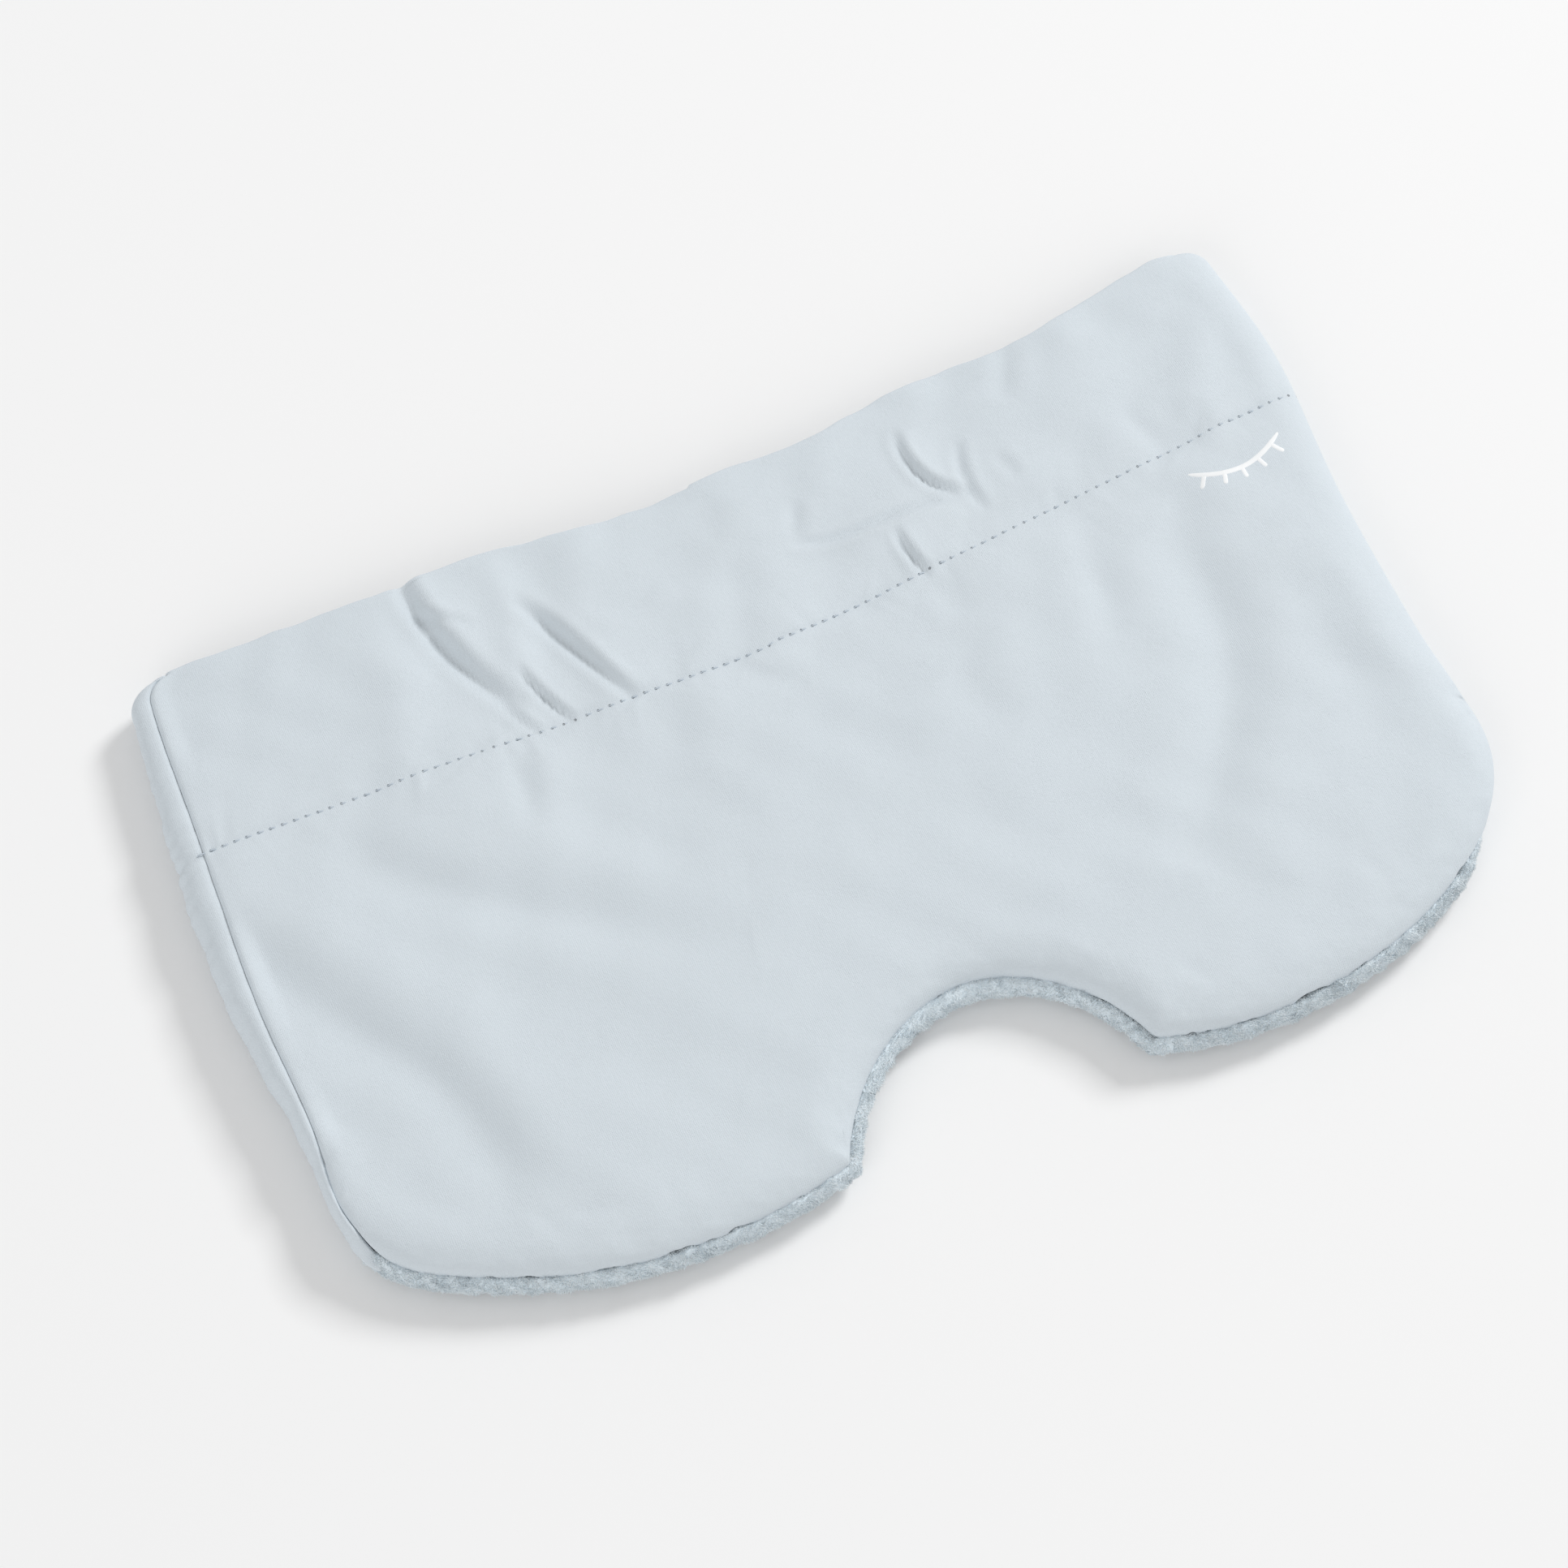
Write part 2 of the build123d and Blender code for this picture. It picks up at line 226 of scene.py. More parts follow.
# ---- wrinkles -------------------------------------------------------------------------------------------
# (points along the fold, half width, depth of the valley, drop from its left side to its right)
FOLDS = [
    # hem band, left: the deep fold below the hump
    ([(-60, 84), (-60, 66), (-57, 54), (-49, 37)], 1.8, 1.2, 2.6),
    ([(-43, 73), (-44, 58), (-47, 43)], 3.6, -0.8, 0.0),
    ([(-42, 62), (-36, 49), (-33, 41), (-28, 30)], 1.4, 1.1, 1.6),
    ([(-47, 47), (-45, 39), (-41, 31)], 0.9, 0.9, 1.2),
    ([(-53, 41), (-51, 36), (-48, 31)], 0.9, 0.55, 0.6),
    ([(-62, 67), (-57, 63), (-51, 60)], 1.0, 0.6, 0.7),
    ([(-30, 52), (-22, 50), (-14, 53)], 1.6, 0.2, -0.35),
    # hem band, right of the middle
    ([(13, 50), (26, 47), (38, 47), (50, 45)], 1.0, 0.8, -0.9),
    ([(19, 59), (15, 51)], 1.6, 0.35, 0.5),
    ([(44, 65), (43, 57), (46, 50), (52, 46)], 1.0, 1.0, 1.3),
    ([(55, 58), (52, 49), (53, 40)], 1.1, 0.6, 0.8),
    ([(34, 44), (34, 38), (36, 31)], 0.9, 0.9, 0.9),
    ([(60, 52), (62, 44)], 1.4, 0.3, 0.3),
    ([(4, 67), (1, 55)], 3.2, 0.2, 0.6),
    ([(74, 75), (67, 62)], 2.4, 0.5, 0.7),
    ([(116, 68), (98, 62), (84, 48)], 6.0, 0.5, -0.5),
    ([(104, 44), (97, 36)], 2.0, 0.35, 0.4),
    ([(88, 50), (92, 38)], 2.2, 0.35, 0.4),
    # filled part
    ([(-118, 24), (-114, 7), (-105, -8), (-92, -30), (-91, -58)], 5.5, 1.4, 1.7),
    ([(-90, 30), (-84, 14), (-69, 2), (-52, -10), (-28, -24)], 5.5, 1.0, 1.3),
    ([(84, 24), (86, 8), (82, -10), (70, -30), (56, -48)], 5.8, 1.2, 1.4),
    ([(69, 31), (64, 3)], 4.0, 0.6, 0.7),
    ([(100, 6), (103, -14), (103, -38)], 6.0, 0.6, 0.7),
    ([(31, 11), (38, -6)], 4.5, 0.5, 0.5),
    ([(-7, 27), (4, 20)], 2.6, 0.4, 0.3),
    ([(-54, 30), (-57, 13)], 2.6, 0.5, 0.5),
    ([(36, 30), (39, 20)], 2.4, 0.18, 0.2),
    ([(-80, -15), (-61, -35), (-41, -51)], 8.0, 0.45, 0.5),
    ([(-20, 28), (-24, 12), (-20, 0)], 5.0, 0.35, 0.4),
    ([(10, -10), (30, -28), (52, -34)], 7.0, 0.4, -0.4),
    # short pulls at the rim
    ([(21, -54), (29, -56)], 1.3, 0.2, 0.25),
    ([(48, -71), (43, -63)], 1.8, 0.2, 0.3),
    ([(-26, -67), (-31, -69)], 1.3, 0.25, 0.3),
    ([(-84, -66), (-88, -58)], 1.8, 0.2, 0.2),
    ([(-62, -72), (-64, -63)], 1.8, 0.15, 0.2),
    ([(88, -66), (84, -57)], 1.8, 0.15, 0.2),
]


def curve_through(points, count=28):
    """Points along the polynomial through a few points, spaced by their chords."""
    points = np.array(points, float)
    at = np.concatenate([[0.0], np.cumsum(np.linalg.norm(np.diff(points, axis=0), axis=1))])
    at /= at[-1]
    powers = np.vander(at, len(points))
    factors = np.linalg.solve(powers, points)
    return np.vander(np.linspace(0, 1, count), len(points)) @ factors


def fold_line(x, y, points, width, depth, drop):
    """A valley along a line, with a drop across it; both fade towards its ends and away from it."""
    line = curve_through(points)
    best = np.full(x.shape, 1e9)
    side = np.zeros(x.shape)
    along = np.zeros(x.shape)
    segments = len(line) - 1
    for index in range(segments):
        (ax, ay), (bx, by) = line[index], line[index + 1]
        dx, dy = bx - ax, by - ay
        long = np.hypot(dx, dy)
        t = np.clip(((x - ax) * dx + (y - ay) * dy) / long ** 2, 0.0, 1.0)
        away_x, away_y = x - ax - t * dx, y - ay - t * dy
        away = np.hypot(away_x, away_y)
        nearer = away < best
        best = np.where(nearer, away, best)
        side = np.where(nearer, (dx * away_y - dy * away_x) / long, side)
        along = np.where(nearer, (index + t) / segments, along)
    fade = np.clip(4.0 * along * (1.0 - along), 0.0, 1.0) ** 0.6 * np.exp(-((best / (5 * width)) ** 2))
    valley = bump(best, 0, width) - 0.45 * bump(best, 1.9 * width, 1.1 * width)
    signed = np.where(np.abs(side) > 1e-9, np.sign(side) * best, 0.0)
    return fade * (-depth * valley + 0.5 * drop * np.tanh(signed / (0.7 * width)))


def puckers(x, y, line_y, count, reach, low, high, seed):
    """Short ridges and dips that run out from a row of stitches, each with its own length and lean."""
    draw = np.random.default_rng(seed)
    total = np.zeros(x.shape)
    for middle, side, long, wide, lean, tall in zip(
        draw.uniform(low, high, count), draw.choice([-1.0, 1.0], count), draw.uniform(0.35, 1.0, count),
        draw.uniform(0.8, 1.9, count), draw.normal(0, 0.45, count), draw.normal(0, 1.0, count),
    ):
        out = (y - line_y) * side
        across = x - middle - lean * out
        fade = np.exp(-np.clip(out, 0, None) / (reach * long))
        total += tall * bump(across, 0, wide) * ramp(out, -0.6, 1.2) * fade
    return total


def front_height(p, q, x, y):
    """Height of the front: rolled edges, a broad crown, a flatter hem band, folds, swell and puckers."""
    bottom = from_bottom(p, q) - rim_width(p) * rim_shows(p, q)
    right = HALF - p
    left = p + HALF - strip_width(q)
    tall = TOP_Z + 0.9 * ramp(bottom, 0, 38) * ramp(right, 0, 45) * ramp(left, 0, 45)
    tall = tall - 1.5 * ramp(q, 34, 62) - 0.9 * ramp(q, 60, 80) * (0.6 + 0.4 * bump(x, 0, 70))
    low_right = SEAM_Z - 0.8
    rise = rolled(bottom, 9.0) ** 0.9
    z = SEAM_Z + (tall - SEAM_Z) * rise
    z = low_right + (z - low_right) * rolled(right, 8.5)
    left_seam = 0.8 * (1.0 - rolled(left, 5.0)) * ramp(q, -56, -40)
    z = z - left_seam - 0.22 * bump(left, 0, 0.6) * ramp(q, -56, -45)
    inner = ramp(bottom, 1.5, 12) * ramp(right, 2, 12) * ramp(left, 0.5, 5)
    soft = np.zeros(x.shape)
    for points, width, depth, drop in FOLDS:
        soft += fold_line(x, y, points, width, depth, drop)
    band = ramp(q, MOUTH - HEM - 4, MOUTH - HEM + 2)
    soft += 0.32 * swell(x, y, 46, 11) * (1.0 - 0.4 * band) + 0.10 * swell(x, y, 17, 12)
    soft += band * (0.22 * swell(x, 0.5 * y, 24, 13) + 0.07 * swell(x, 0.6 * y, 9, 14))
    line = stitch_line(x)
    gather = puckers(x, y, line, 150, 6.0, -118, 120, 21) * 0.17
    groove = -0.30 * bump(y, line, 0.7) - 0.35 * bump(y, line, 3.2)
    groove = groove * ramp(right, 1, 5) * ramp(left, 0, 2)
    near_rim = np.exp(-np.clip(bottom, 0, None) / 5.0) * ramp(bottom, 0, 1.6)
    rim_gather = (0.12 * swell(x, y, 6.0, 15) + 0.06 * swell(x, y, 2.8, 17)) * near_rim
    strip_gather = 0.12 * swell(0.2 * x, y, 5.0, 16) * np.exp(-np.clip(left, 0, None) / 5.0)
    return z + inner * (soft + gather) + groove + rim_gather + strip_gather


def stitch_line(x):
    """Where the hem's stitches lie: as far below the mouth's fold all along."""
    return MOUTH_LOW - HEM + mouth_rise(x)


# ---- meshes ---------------------------------------------------------------------------------------------
def new_piece(name, points, faces, body, material):
    """Makes a piece from points in millimetres and rows of corner numbers, and lets it ride on its body.

    faces is one array of quads, or a list of arrays, such as quads and then triangles.
    """
    rows = faces if isinstance(faces, list) else [faces]
    mesh = bpy.data.meshes.new(name)
    mesh.from_pydata(points.reshape(-1, 3) * MM, [], [face for group in rows for face in group.tolist()])
    mesh.polygons.foreach_set("use_smooth", np.full(len(mesh.polygons), True))
    mesh.materials.append(material)
    piece = bpy.data.objects.new(name, mesh)
    bpy.context.scene.collection.objects.link(piece)
    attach(piece, body)
    return piece


def grid_faces(rows, columns, around=False, flip=False):
    """Corner numbers of the quads of a grid; around joins the last column to the first."""
    numbers = np.arange(rows * columns).reshape(rows, columns)
    if around:
        numbers = np.concatenate([numbers, numbers[:, :1]], axis=1)
    quads = np.stack([numbers[:-1, :-1], numbers[:-1, 1:], numbers[1:, 1:], numbers[1:, :-1]], axis=-1)
    quads = quads.reshape(-1, 4)
    return quads[:, ::-1] if flip else quads


def add_map(piece, name, across, up):
    """A UV map from one pair of numbers for each point."""
    layer = piece.data.uv_layers.new(name=name)
    corners = np.zeros(len(piece.data.loops), np.int32)
    piece.data.loops.foreach_get("vertex_index", corners)
    pairs = np.stack([across.ravel(), up.ravel()], axis=1)[corners]
    layer.data.foreach_set("uv", pairs.astype(np.float32).ravel())


def front_columns():
    """Columns across the pattern, close together at both sides and at the nose arch's ends."""
    fine = [(-HALF, 5, 0.85), (HALF, 4, 0.85), (-CUSP_X, 3, 0.6), (CUSP_X, 3, 0.6)]
    return spaced(-HALF, HALF, 330, fine)


def front_rows():
    """Rows from the bottom seam, 0, to the mouth, 1, close together at the seam, the hem and the fold."""
    hem_share = 1.0 - HEM / 135.0
    return spaced(0.0, 1.0, 190, [(0.0, 0.04, 0.85), (hem_share, 0.02, 0.72), (1.0, 0.02, 0.6)])


def front_places(columns, rows):
    """Pattern places of the front: each column runs from the bottom seam to the mouth."""
    cut = HALF - RIM
    p = columns[None, :] * cut / HALF + 0.0 * rows[:, None]
    start = lower_edge(p, rim_width(p)) + 0.15 * swell(p, 0 * p, 9.0, 18) + 0.07 * swell(p, 0 * p, 3.0, 19)
    q = start + rows[:, None] * (MOUTH - start)
    shows = rim_shows(p, q)
    near_side = np.clip((np.abs(p) - 0.8 * cut) / (0.2 * cut), 0.0, 1.0) ** 1.5
    left_shift = (RIM - strip_width(q)) * (1.0 - shows) * near_side
    right_shift = RIM * (1.0 - shows) * near_side
    return p + np.where(p < 0, -left_shift, right_shift), q


def front_surface(p, q):
    """Where the front lies: x and y from the lie, z from the height."""
    x, y = lie(p, q)
    return np.stack([x, y, front_height(p, q, x, y)], axis=-1)


def half_turn(row, steps, radius, up):
    """Rows of places that carry a row round the fold at the mouth: upwards, or down where up is -1."""
    turn = np.linspace(0, np.pi, steps + 1)[1:, None]
    fold = np.repeat(row[None], steps, axis=0)
    fold[..., 1] += radius * np.sin(turn)
    fold[..., 2] += up * radius * (1 - np.cos(turn))
    return fold


def turn_under(points, p, q, tucks):
    """Turns the first rows and the last columns of the front under, along an arc.

    The arc is deep where the cloth wraps the right side, and only goes down into the seam's ditch where
    the plush rim shows. p and q are the pattern places that the rows and columns turn from.
    """
    rows, columns = p.shape
    row_turn = np.clip(tucks - np.arange(rows), 0, None) / tucks
    column_turn = np.clip(np.arange(columns) - (columns - 1 - tucks), 0, None) / tucks
    share = np.maximum(row_turn[:, None], column_turn[None, :])
    in_x, in_y = inward(p, q)
    on_side = column_turn[None, :] > 0
    in_x, in_y = np.where(on_side, -1.0, in_x), np.where(on_side, 0.0, in_y)
    shown = rim_shows(p, q)
    shown = np.where(on_side, shown * (p > 0), shown)
    radius = np.where(p > 0, 4.2 - 3.5 * shown, 0.7)
    angle = np.radians(66) * share
    points[..., 0] += in_x * radius * (1 - np.cos(angle))
    points[..., 1] += in_y * radius * (1 - np.cos(angle))
    points[..., 2] -= radius * np.sin(angle)


def front_cloth(material):
    """The front: the outer layer up to the mouth, round the fold, and the hem back down inside."""
    p, q = front_places(front_columns(), front_rows())
    outer = front_surface(p, q)
    fold = half_turn(outer[-1], 8, FOLD, -1)
    down = spaced(0.0, 1.0, 26, [(0.0, 0.1, 0.5)])[1:, None]
    hem_q = MOUTH - down * (HEM + 4.0) + 0.0 * p[-1][None]
    hem_p = p[-1][None] * (1.0 - 0.02 * ramp(down, 0.0, 0.12))
    inside = front_surface(hem_p, hem_q)
    inside[..., 2] -= 2 * FOLD - 0.9 * down ** 0.5
    points = np.concatenate([outer, fold, inside])
    tucks = 8
    points = np.pad(points, ((tucks, 0), (0, tucks), (0, 0)), mode="edge")
    past = len(points) - tucks - len(q)
    edge_p = np.pad(np.broadcast_to(p[:1], p.shape), ((tucks, past), (0, tucks)), mode="edge")
    edge_q = np.concatenate([q, hem_q[:1].repeat(past, 0)])
    edge_q = np.pad(edge_q, ((tucks, 0), (0, tucks)), mode="edge")
    turn_under(points, edge_p, edge_q, tucks)
    faces = grid_faces(*points.shape[:2])
    piece = new_piece("front_cloth", points, faces, "cover", material)
    x, y = points[..., 0], points[..., 1]
    row = y - stitch_line(x)
    row[tucks + len(q):] = 9.0
    add_map(piece, "hem", x, row)
    return piece


# ---- plush back -----------------------------------------------------------------------------------------
# profile of the roll: inset from the outline and height, from the seam round to the flat
ROLL = np.array([
    (4.2, 4.2), (2.9, 5.7), (2.15, 6.9), (1.45, 7.25), (0.7, 6.8), (0.05, 5.6), (-0.3, 4.2), (0.2, 2.8),
    (1.5, 1.6), (3.4, 0.95), (6.0, 0.55),
])


ROLL_ROWS, ROLL_PILE_ROWS = 30, 26      # rows of the roll, and how many of them carry pile
NOSE_FROM, NOSE_TO = 0.36, 0.64         # the columns round the nose arch, as shares of all columns
SIDE_TUFTS, NOSE_TUFTS = 21000, 15000


def back_columns():
    """Columns across the plush back, from -1 to 1."""
    fine = [(-HALF, 5, 0.8), (HALF, 5, 0.8), (-CUSP_X, 3, 0.6), (CUSP_X, 3, 0.6)]
    return spaced(-1.0, 1.0, 420, [(centre / HALF, reach / HALF, close) for centre, reach, close in fine])


def roll_profile(count):
    """Inset and height along the roll, smoothed between its points."""
    at = np.linspace(0, len(ROLL) - 1, count)
    dense = np.linspace(0, len(ROLL) - 1, 400)
    rough = np.stack([np.interp(dense, np.arange(len(ROLL)), ROLL[:, k]) for k in (0, 1)], axis=1)
    kernel = bump(np.linspace(-1, 1, 61), 0, 0.5)
    kernel /= kernel.sum()
    padded = np.concatenate([np.repeat(rough[:1], 30, 0), rough, np.repeat(rough[-1:], 30, 0)])
    smooth = np.stack([np.convolve(padded[:, k], kernel, "valid") for k in (0, 1)], axis=1)
    return np.stack([np.interp(at, dense, smooth[:, k]) for k in (0, 1)], axis=1)


def plush_lumps(x, y, z):
    """Soft clumps of pile, as a push along the normal."""
    return 0.11 * swell(x + 0.7 * z, y - 0.6 * z, 4.6, 31) + 0.05 * swell(x - z, y + z, 1.6, 32)


def side_rise(p, q, shows):
    """How far the plush back turns up where it meets the side strips."""
    edge = np.minimum(HALF - np.abs(p), from_bottom(p, q)) - STRIP_INSET
    return SIDE_RISE * (1.0 - rolled(edge, 4.0)) * (1.0 - shows)


def back_points():
    """The plush back: the roll from the seam round to the flat, the flat, the fold and the inner hem.

    Where a side strip hides the roll, the roll closes up to a low wall just inside the strip.
    """
    columns = back_columns()
    edge_p = columns * (HALF - RIM)
    early = np.where(columns < 0, 7.0, 0.0)
    hidden = 1.0 - rim_shows(edge_p, lower_edge(edge_p, RIM) - early)
    profile = roll_profile(ROLL_ROWS)
    flat = profile[-1][1]
    rows = []
    for share, (inset, z) in zip(np.linspace(0, 1, len(profile)), profile):
        inset = inset + (rim_width(edge_p) - RIM) * np.clip((0.40 - share) / 0.12, 0, 1)
        inset = inset * (1 - hidden) + STRIP_INSET * hidden
        p = columns * (HALF - inset)
        q = lower_edge(p, inset)
        wall = 4.2 + (flat + SIDE_RISE - 4.2) * share
        x, y = lie(p, q)
        rows.append(np.stack([x, y, z * (1 - hidden) + wall * hidden], axis=-1))
    t = spaced(0.0, 1.0, 110, [(1.0, 0.03, 0.6)])[1:, None]
    last = inset + (STRIP_INSET - inset) * ramp(t, 0.0, 0.1)
    p = columns[None, :] * (HALF - last)
    start = lower_edge(columns * (HALF - inset), inset)[None, :]
    q = start + t * (MOUTH - 0.6 - start)
    x, y = lie(p, q)
    z = flat + side_rise(p, q, rim_shows(p, q - early)) + 0.35 * ramp(q, 50, MOUTH)
    z = z + 0.12 * swell(x, y, 30, 33)
    flat_rows = np.stack([x, y, np.maximum(z, 0.35)], axis=-1)
    fold = half_turn(flat_rows[-1], 6, 0.7, 1)
    down = np.linspace(0, 1, BACK_HEM_ROWS + 1)[1:, None]
    hem_q = MOUTH - 0.6 - down * (HEM - 1.0)
    hem_p = p[-1][None] * (1 - 0.01 * down)
    x, y = lie(hem_p, hem_q)
    inside = np.stack([x, y, fold[-1, :, 2][None] - 0.3 * down + 0.1 * swell(x, y, 12, 34)], axis=-1)
    return np.concatenate([np.array(rows), flat_rows, fold, inside])


def grid_normals(points):
    """Unit normals of a grid from its rows and columns."""
    normal = np.cross(np.gradient(points, axis=1), np.gradient(points, axis=0))
    return normal / np.maximum(np.linalg.norm(normal, axis=-1, keepdims=True), 1e-9)


def back_cloth(material):
    """The plush back, with soft clumps of pile on its outside and smoother cloth on its inner hem."""
    points = back_points()
    normal = -grid_normals(points)
    lumps = plush_lumps(points[..., 0], points[..., 1], points[..., 2])
    outside = np.ones(len(points))
    outside[-BACK_HEM_ROWS:] = 0.3
    points = points + normal * (lumps * outside[:, None])[..., None]
    points[..., 2] = np.maximum(points[..., 2], 0.03)
    faces = grid_faces(*points.shape[:2], flip=True)
    return new_piece("plush_back", points, faces, "cover", material)


def tufts(name, roots, normals, length, width, lean, material, seed):
    """One small bent cone for each root: three-sided, two rings and a tip, leaning more towards the tip.

    Its map says how far up its tuft each point is, and a number of the tuft's own.
    """
    draw = np.random.default_rng(seed)
    count = len(roots)
    side = np.cross(normals, draw.normal(size=(count, 3)))
    side /= np.linalg.norm(side, axis=1, keepdims=True)
    other = np.cross(normals, side)
    long = length * draw.uniform(0.6, 1.25, count)
    wide = width * draw.uniform(0.7, 1.3, count)
    points = np.zeros((count, 7, 3))
    for ring, (height, share) in enumerate([(-0.15, 1.0), (0.55, 0.75)]):
        shift = lean * height ** 2 * np.sign(height)
        for corner in range(3):
            angle = 2 * np.pi * corner / 3
            out = (np.cos(angle) * side + np.sin(angle) * other) * (wide * share)[:, None]
            points[:, 3 * ring + corner] = roots + normals * (long * height)[:, None] + out + shift
    points[:, 6] = roots + normals * long[:, None] + lean
    sides = np.array([[0, 1, 4, 3], [1, 2, 5, 4], [2, 0, 3, 5]])
    tip = np.array([[3, 4, 6], [4, 5, 6], [5, 3, 6]])
    step = 7 * np.arange(count)[:, None, None]
    faces = [(sides[None] + step).reshape(-1, 4), (tip[None] + step).reshape(-1, 3)]
    piece = new_piece(name, points, faces, "cover", material)
    up = np.tile([0.0, 0.0, 0.0, 0.55, 0.55, 0.55, 1.0], (count, 1))
    own = np.repeat(draw.random((count, 1)), 7, axis=1)
    add_map(piece, "pile", own, up)
    return piece


def rim_pile(name, low, high, material, seed, count):
    """Pile standing out of the roll between two shares of its columns, spread evenly by area, in clumps."""
    points = back_points()[1:ROLL_PILE_ROWS]
    columns = points.shape[1]
    first, last = int(low * columns), int(high * columns)
    points = points[:, first:last]
    normal = -grid_normals(points)
    along = np.linalg.norm(np.diff(points, axis=1), axis=-1)[:-1]
    around = np.linalg.norm(np.diff(points, axis=0), axis=-1)[:, :-1]
    area = (along * around).ravel()
    draw = np.random.default_rng(seed)
    cell = draw.choice(area.size, count, p=area / area.sum())
    row, column = np.unravel_index(cell, along.shape)
    a, b = draw.random((2, count, 1))

    def mixed(grid):
        lower = grid[row, column] * (1 - a) + grid[row, column + 1] * a
        upper = grid[row + 1, column] * (1 - a) + grid[row + 1, column + 1] * a
        return lower * (1 - b) + upper * b

    roots, out = mixed(points), mixed(normal)
    out /= np.linalg.norm(out, axis=1, keepdims=True)
    x, y, z = roots.T
    roots = roots + out * plush_lumps(x, y, z)[:, None]
    lean = np.stack([swell(x + z, y, 3.6, key) for key in (42, 43, 44)], axis=1) * 0.16
    lean += draw.normal(0, 0.10, (count, 3))
    lean[:, 2] += 0.05
    long = np.clip(0.5 * (0.9 + 0.25 * swell(x, y + z, 1.8, 45)), 0.3, 1.0)
    out = out + 0.25 * draw.normal(size=out.shape)
    out /= np.linalg.norm(out, axis=1, keepdims=True)
    at_p, at_q = pattern_at(x, y)
    keep = (roots[:, 2] > 1.4) & (draw.random(count) < rim_shows(at_p, at_q) ** 2)
    return tufts(name, roots[keep], out[keep], long[keep], 0.10, lean[keep], material, seed + 1)


# ---- side strips ----------------------------------------------------------------------------------------
def left_seam(q):
    """Where the left seam lies, between the front and the strip."""
    slant = np.sqrt(1.0 - (np.minimum(q - CORNER_Y, 0.0) / CORNER_R) ** 2)
    p = -(side_edge(q) - strip_width(q) / slant)
    x, y = lie(p, q)
    return x, y, front_height(p, q, x, y)


def with_strip_hem(points, middle_x):
    """Folds the strip's end at the mouth back inside: rows that shrink towards the strip's middle."""
    end = points[-1]
    middle = np.array([middle_x, 0.0, 5.6])
    turn = np.linspace(0, np.pi, 6)[1:]
    back = np.linspace(0, 1, 6)[1:]
    shrink = np.concatenate([0.10 * (1 - np.cos(turn)), 0.2 + 0.03 * back])
    along = np.concatenate([0.45 * np.sin(turn), -9.0 * back])
    rows = []
    for share, ahead in zip(shrink, along):
        row = end + (middle - end) * share
        row[:, 1] = end[:, 1] + ahead
        rows.append(row)
    return np.concatenate([points, np.array(rows)])


def left_strip(material):
    """Left strip: from the seam's ditch up over a ridge, round the side and under to the plush back."""
    q = spaced(STRIP_LOW, MOUTH, 210, [(MOUTH, 5, 0.6), (STRIP_LOW, 6, 0.6), (38, 8, 0.5)])[:, None]
    t = np.linspace(0, 1, 26)[None, :]
    seam_x, seam_y, seam_z = left_seam(q)
    outer_x, outer_y = lie(-side_edge(q), q)
    reach = seam_x - outer_x
    angle = np.pi * np.clip((t - 0.12) / 0.88, 0, 1)
    middle = 5.9 - 1.7 * bump(q, 2, 36)
    ridge = seam_z + 0.3
    out = reach * (0.16 + 0.84 * np.sin(np.minimum(angle, np.pi / 2)))
    out = np.where(angle > np.pi / 2, reach - 2.6 * (1 - np.sin(angle)), out)
    z = middle + np.where(angle < np.pi / 2, ridge - middle, middle - 2.0) * np.cos(angle)
    ditch = ramp(0.12 - t, 0.0, 0.12)
    out = out - reach * 0.16 * ditch - 0.12 * ditch
    z = z - 0.5 * ditch
    held = np.sin(np.pi * t) ** 0.7
    gather = 0.15 * swell(0 * q + 3, q, 2.6, 51) * (0.25 + bump(q, 42, 11) + 0.5 * bump(q, -50, 6)) * held
    gather += 0.16 * swell(0 * q + 3, q, 13.0, 52) * np.sin(np.pi * t)
    out = out + (gather + 0.8 * bump(q, -53, 4.5)) * np.sin(angle)
    z = z + gather * np.cos(angle)
    low_end = ramp(-q, 48, 57)
    z = z - low_end * np.clip(z - 5.0, 0, None) * 0.35
    shift_y = (seam_y - outer_y) * np.clip(out / np.maximum(reach, 0.5), 0, 1)
    points = np.stack([seam_x - out, seam_y - shift_y, z + 0.0 * q], axis=-1)
    points = with_strip_hem(points, seam_x[-1, 0] + 1.0)
    faces = grid_faces(*points.shape[:2], flip=True)
    return new_piece("left_strip", points, faces, "cover", material)


def right_strip(material):
    """Right strip: its seam allowance, then tucked under the front's turned edge, down to the plush back."""
    q = spaced(-54.0, MOUTH - 0.5, 170, [(MOUTH, 5, 0.6)])[:, None]
    t = np.linspace(0, 1, 18)[None, :]
    edge_x, edge_y = lie(side_edge(q), q)
    allowance = np.clip(1.0 - t / 0.3, 0, 1) + np.clip((t - 0.7) / 0.3, 0, 1)
    shown = np.clip((t - 0.3) / 0.4, 0, 1)
    out = -2.6 - 0.6 * shown + 0.9 * np.sin(np.pi * shown) - 3.2 * allowance
    z = 4.4 - 3.1 * shown + 0.4 * allowance
    gather = 0.14 * swell(0 * q + 5, q, 3.2, 53) * np.sin(np.pi * t)
    points = np.stack([edge_x + out + gather, edge_y + 0.0 * t, z + 0.0 * q], axis=-1)
    points = with_strip_hem(points, edge_x[-1, 0] - 8.0)
    return new_piece("right_strip", points, grid_faces(*points.shape[:2]), "cover", material)


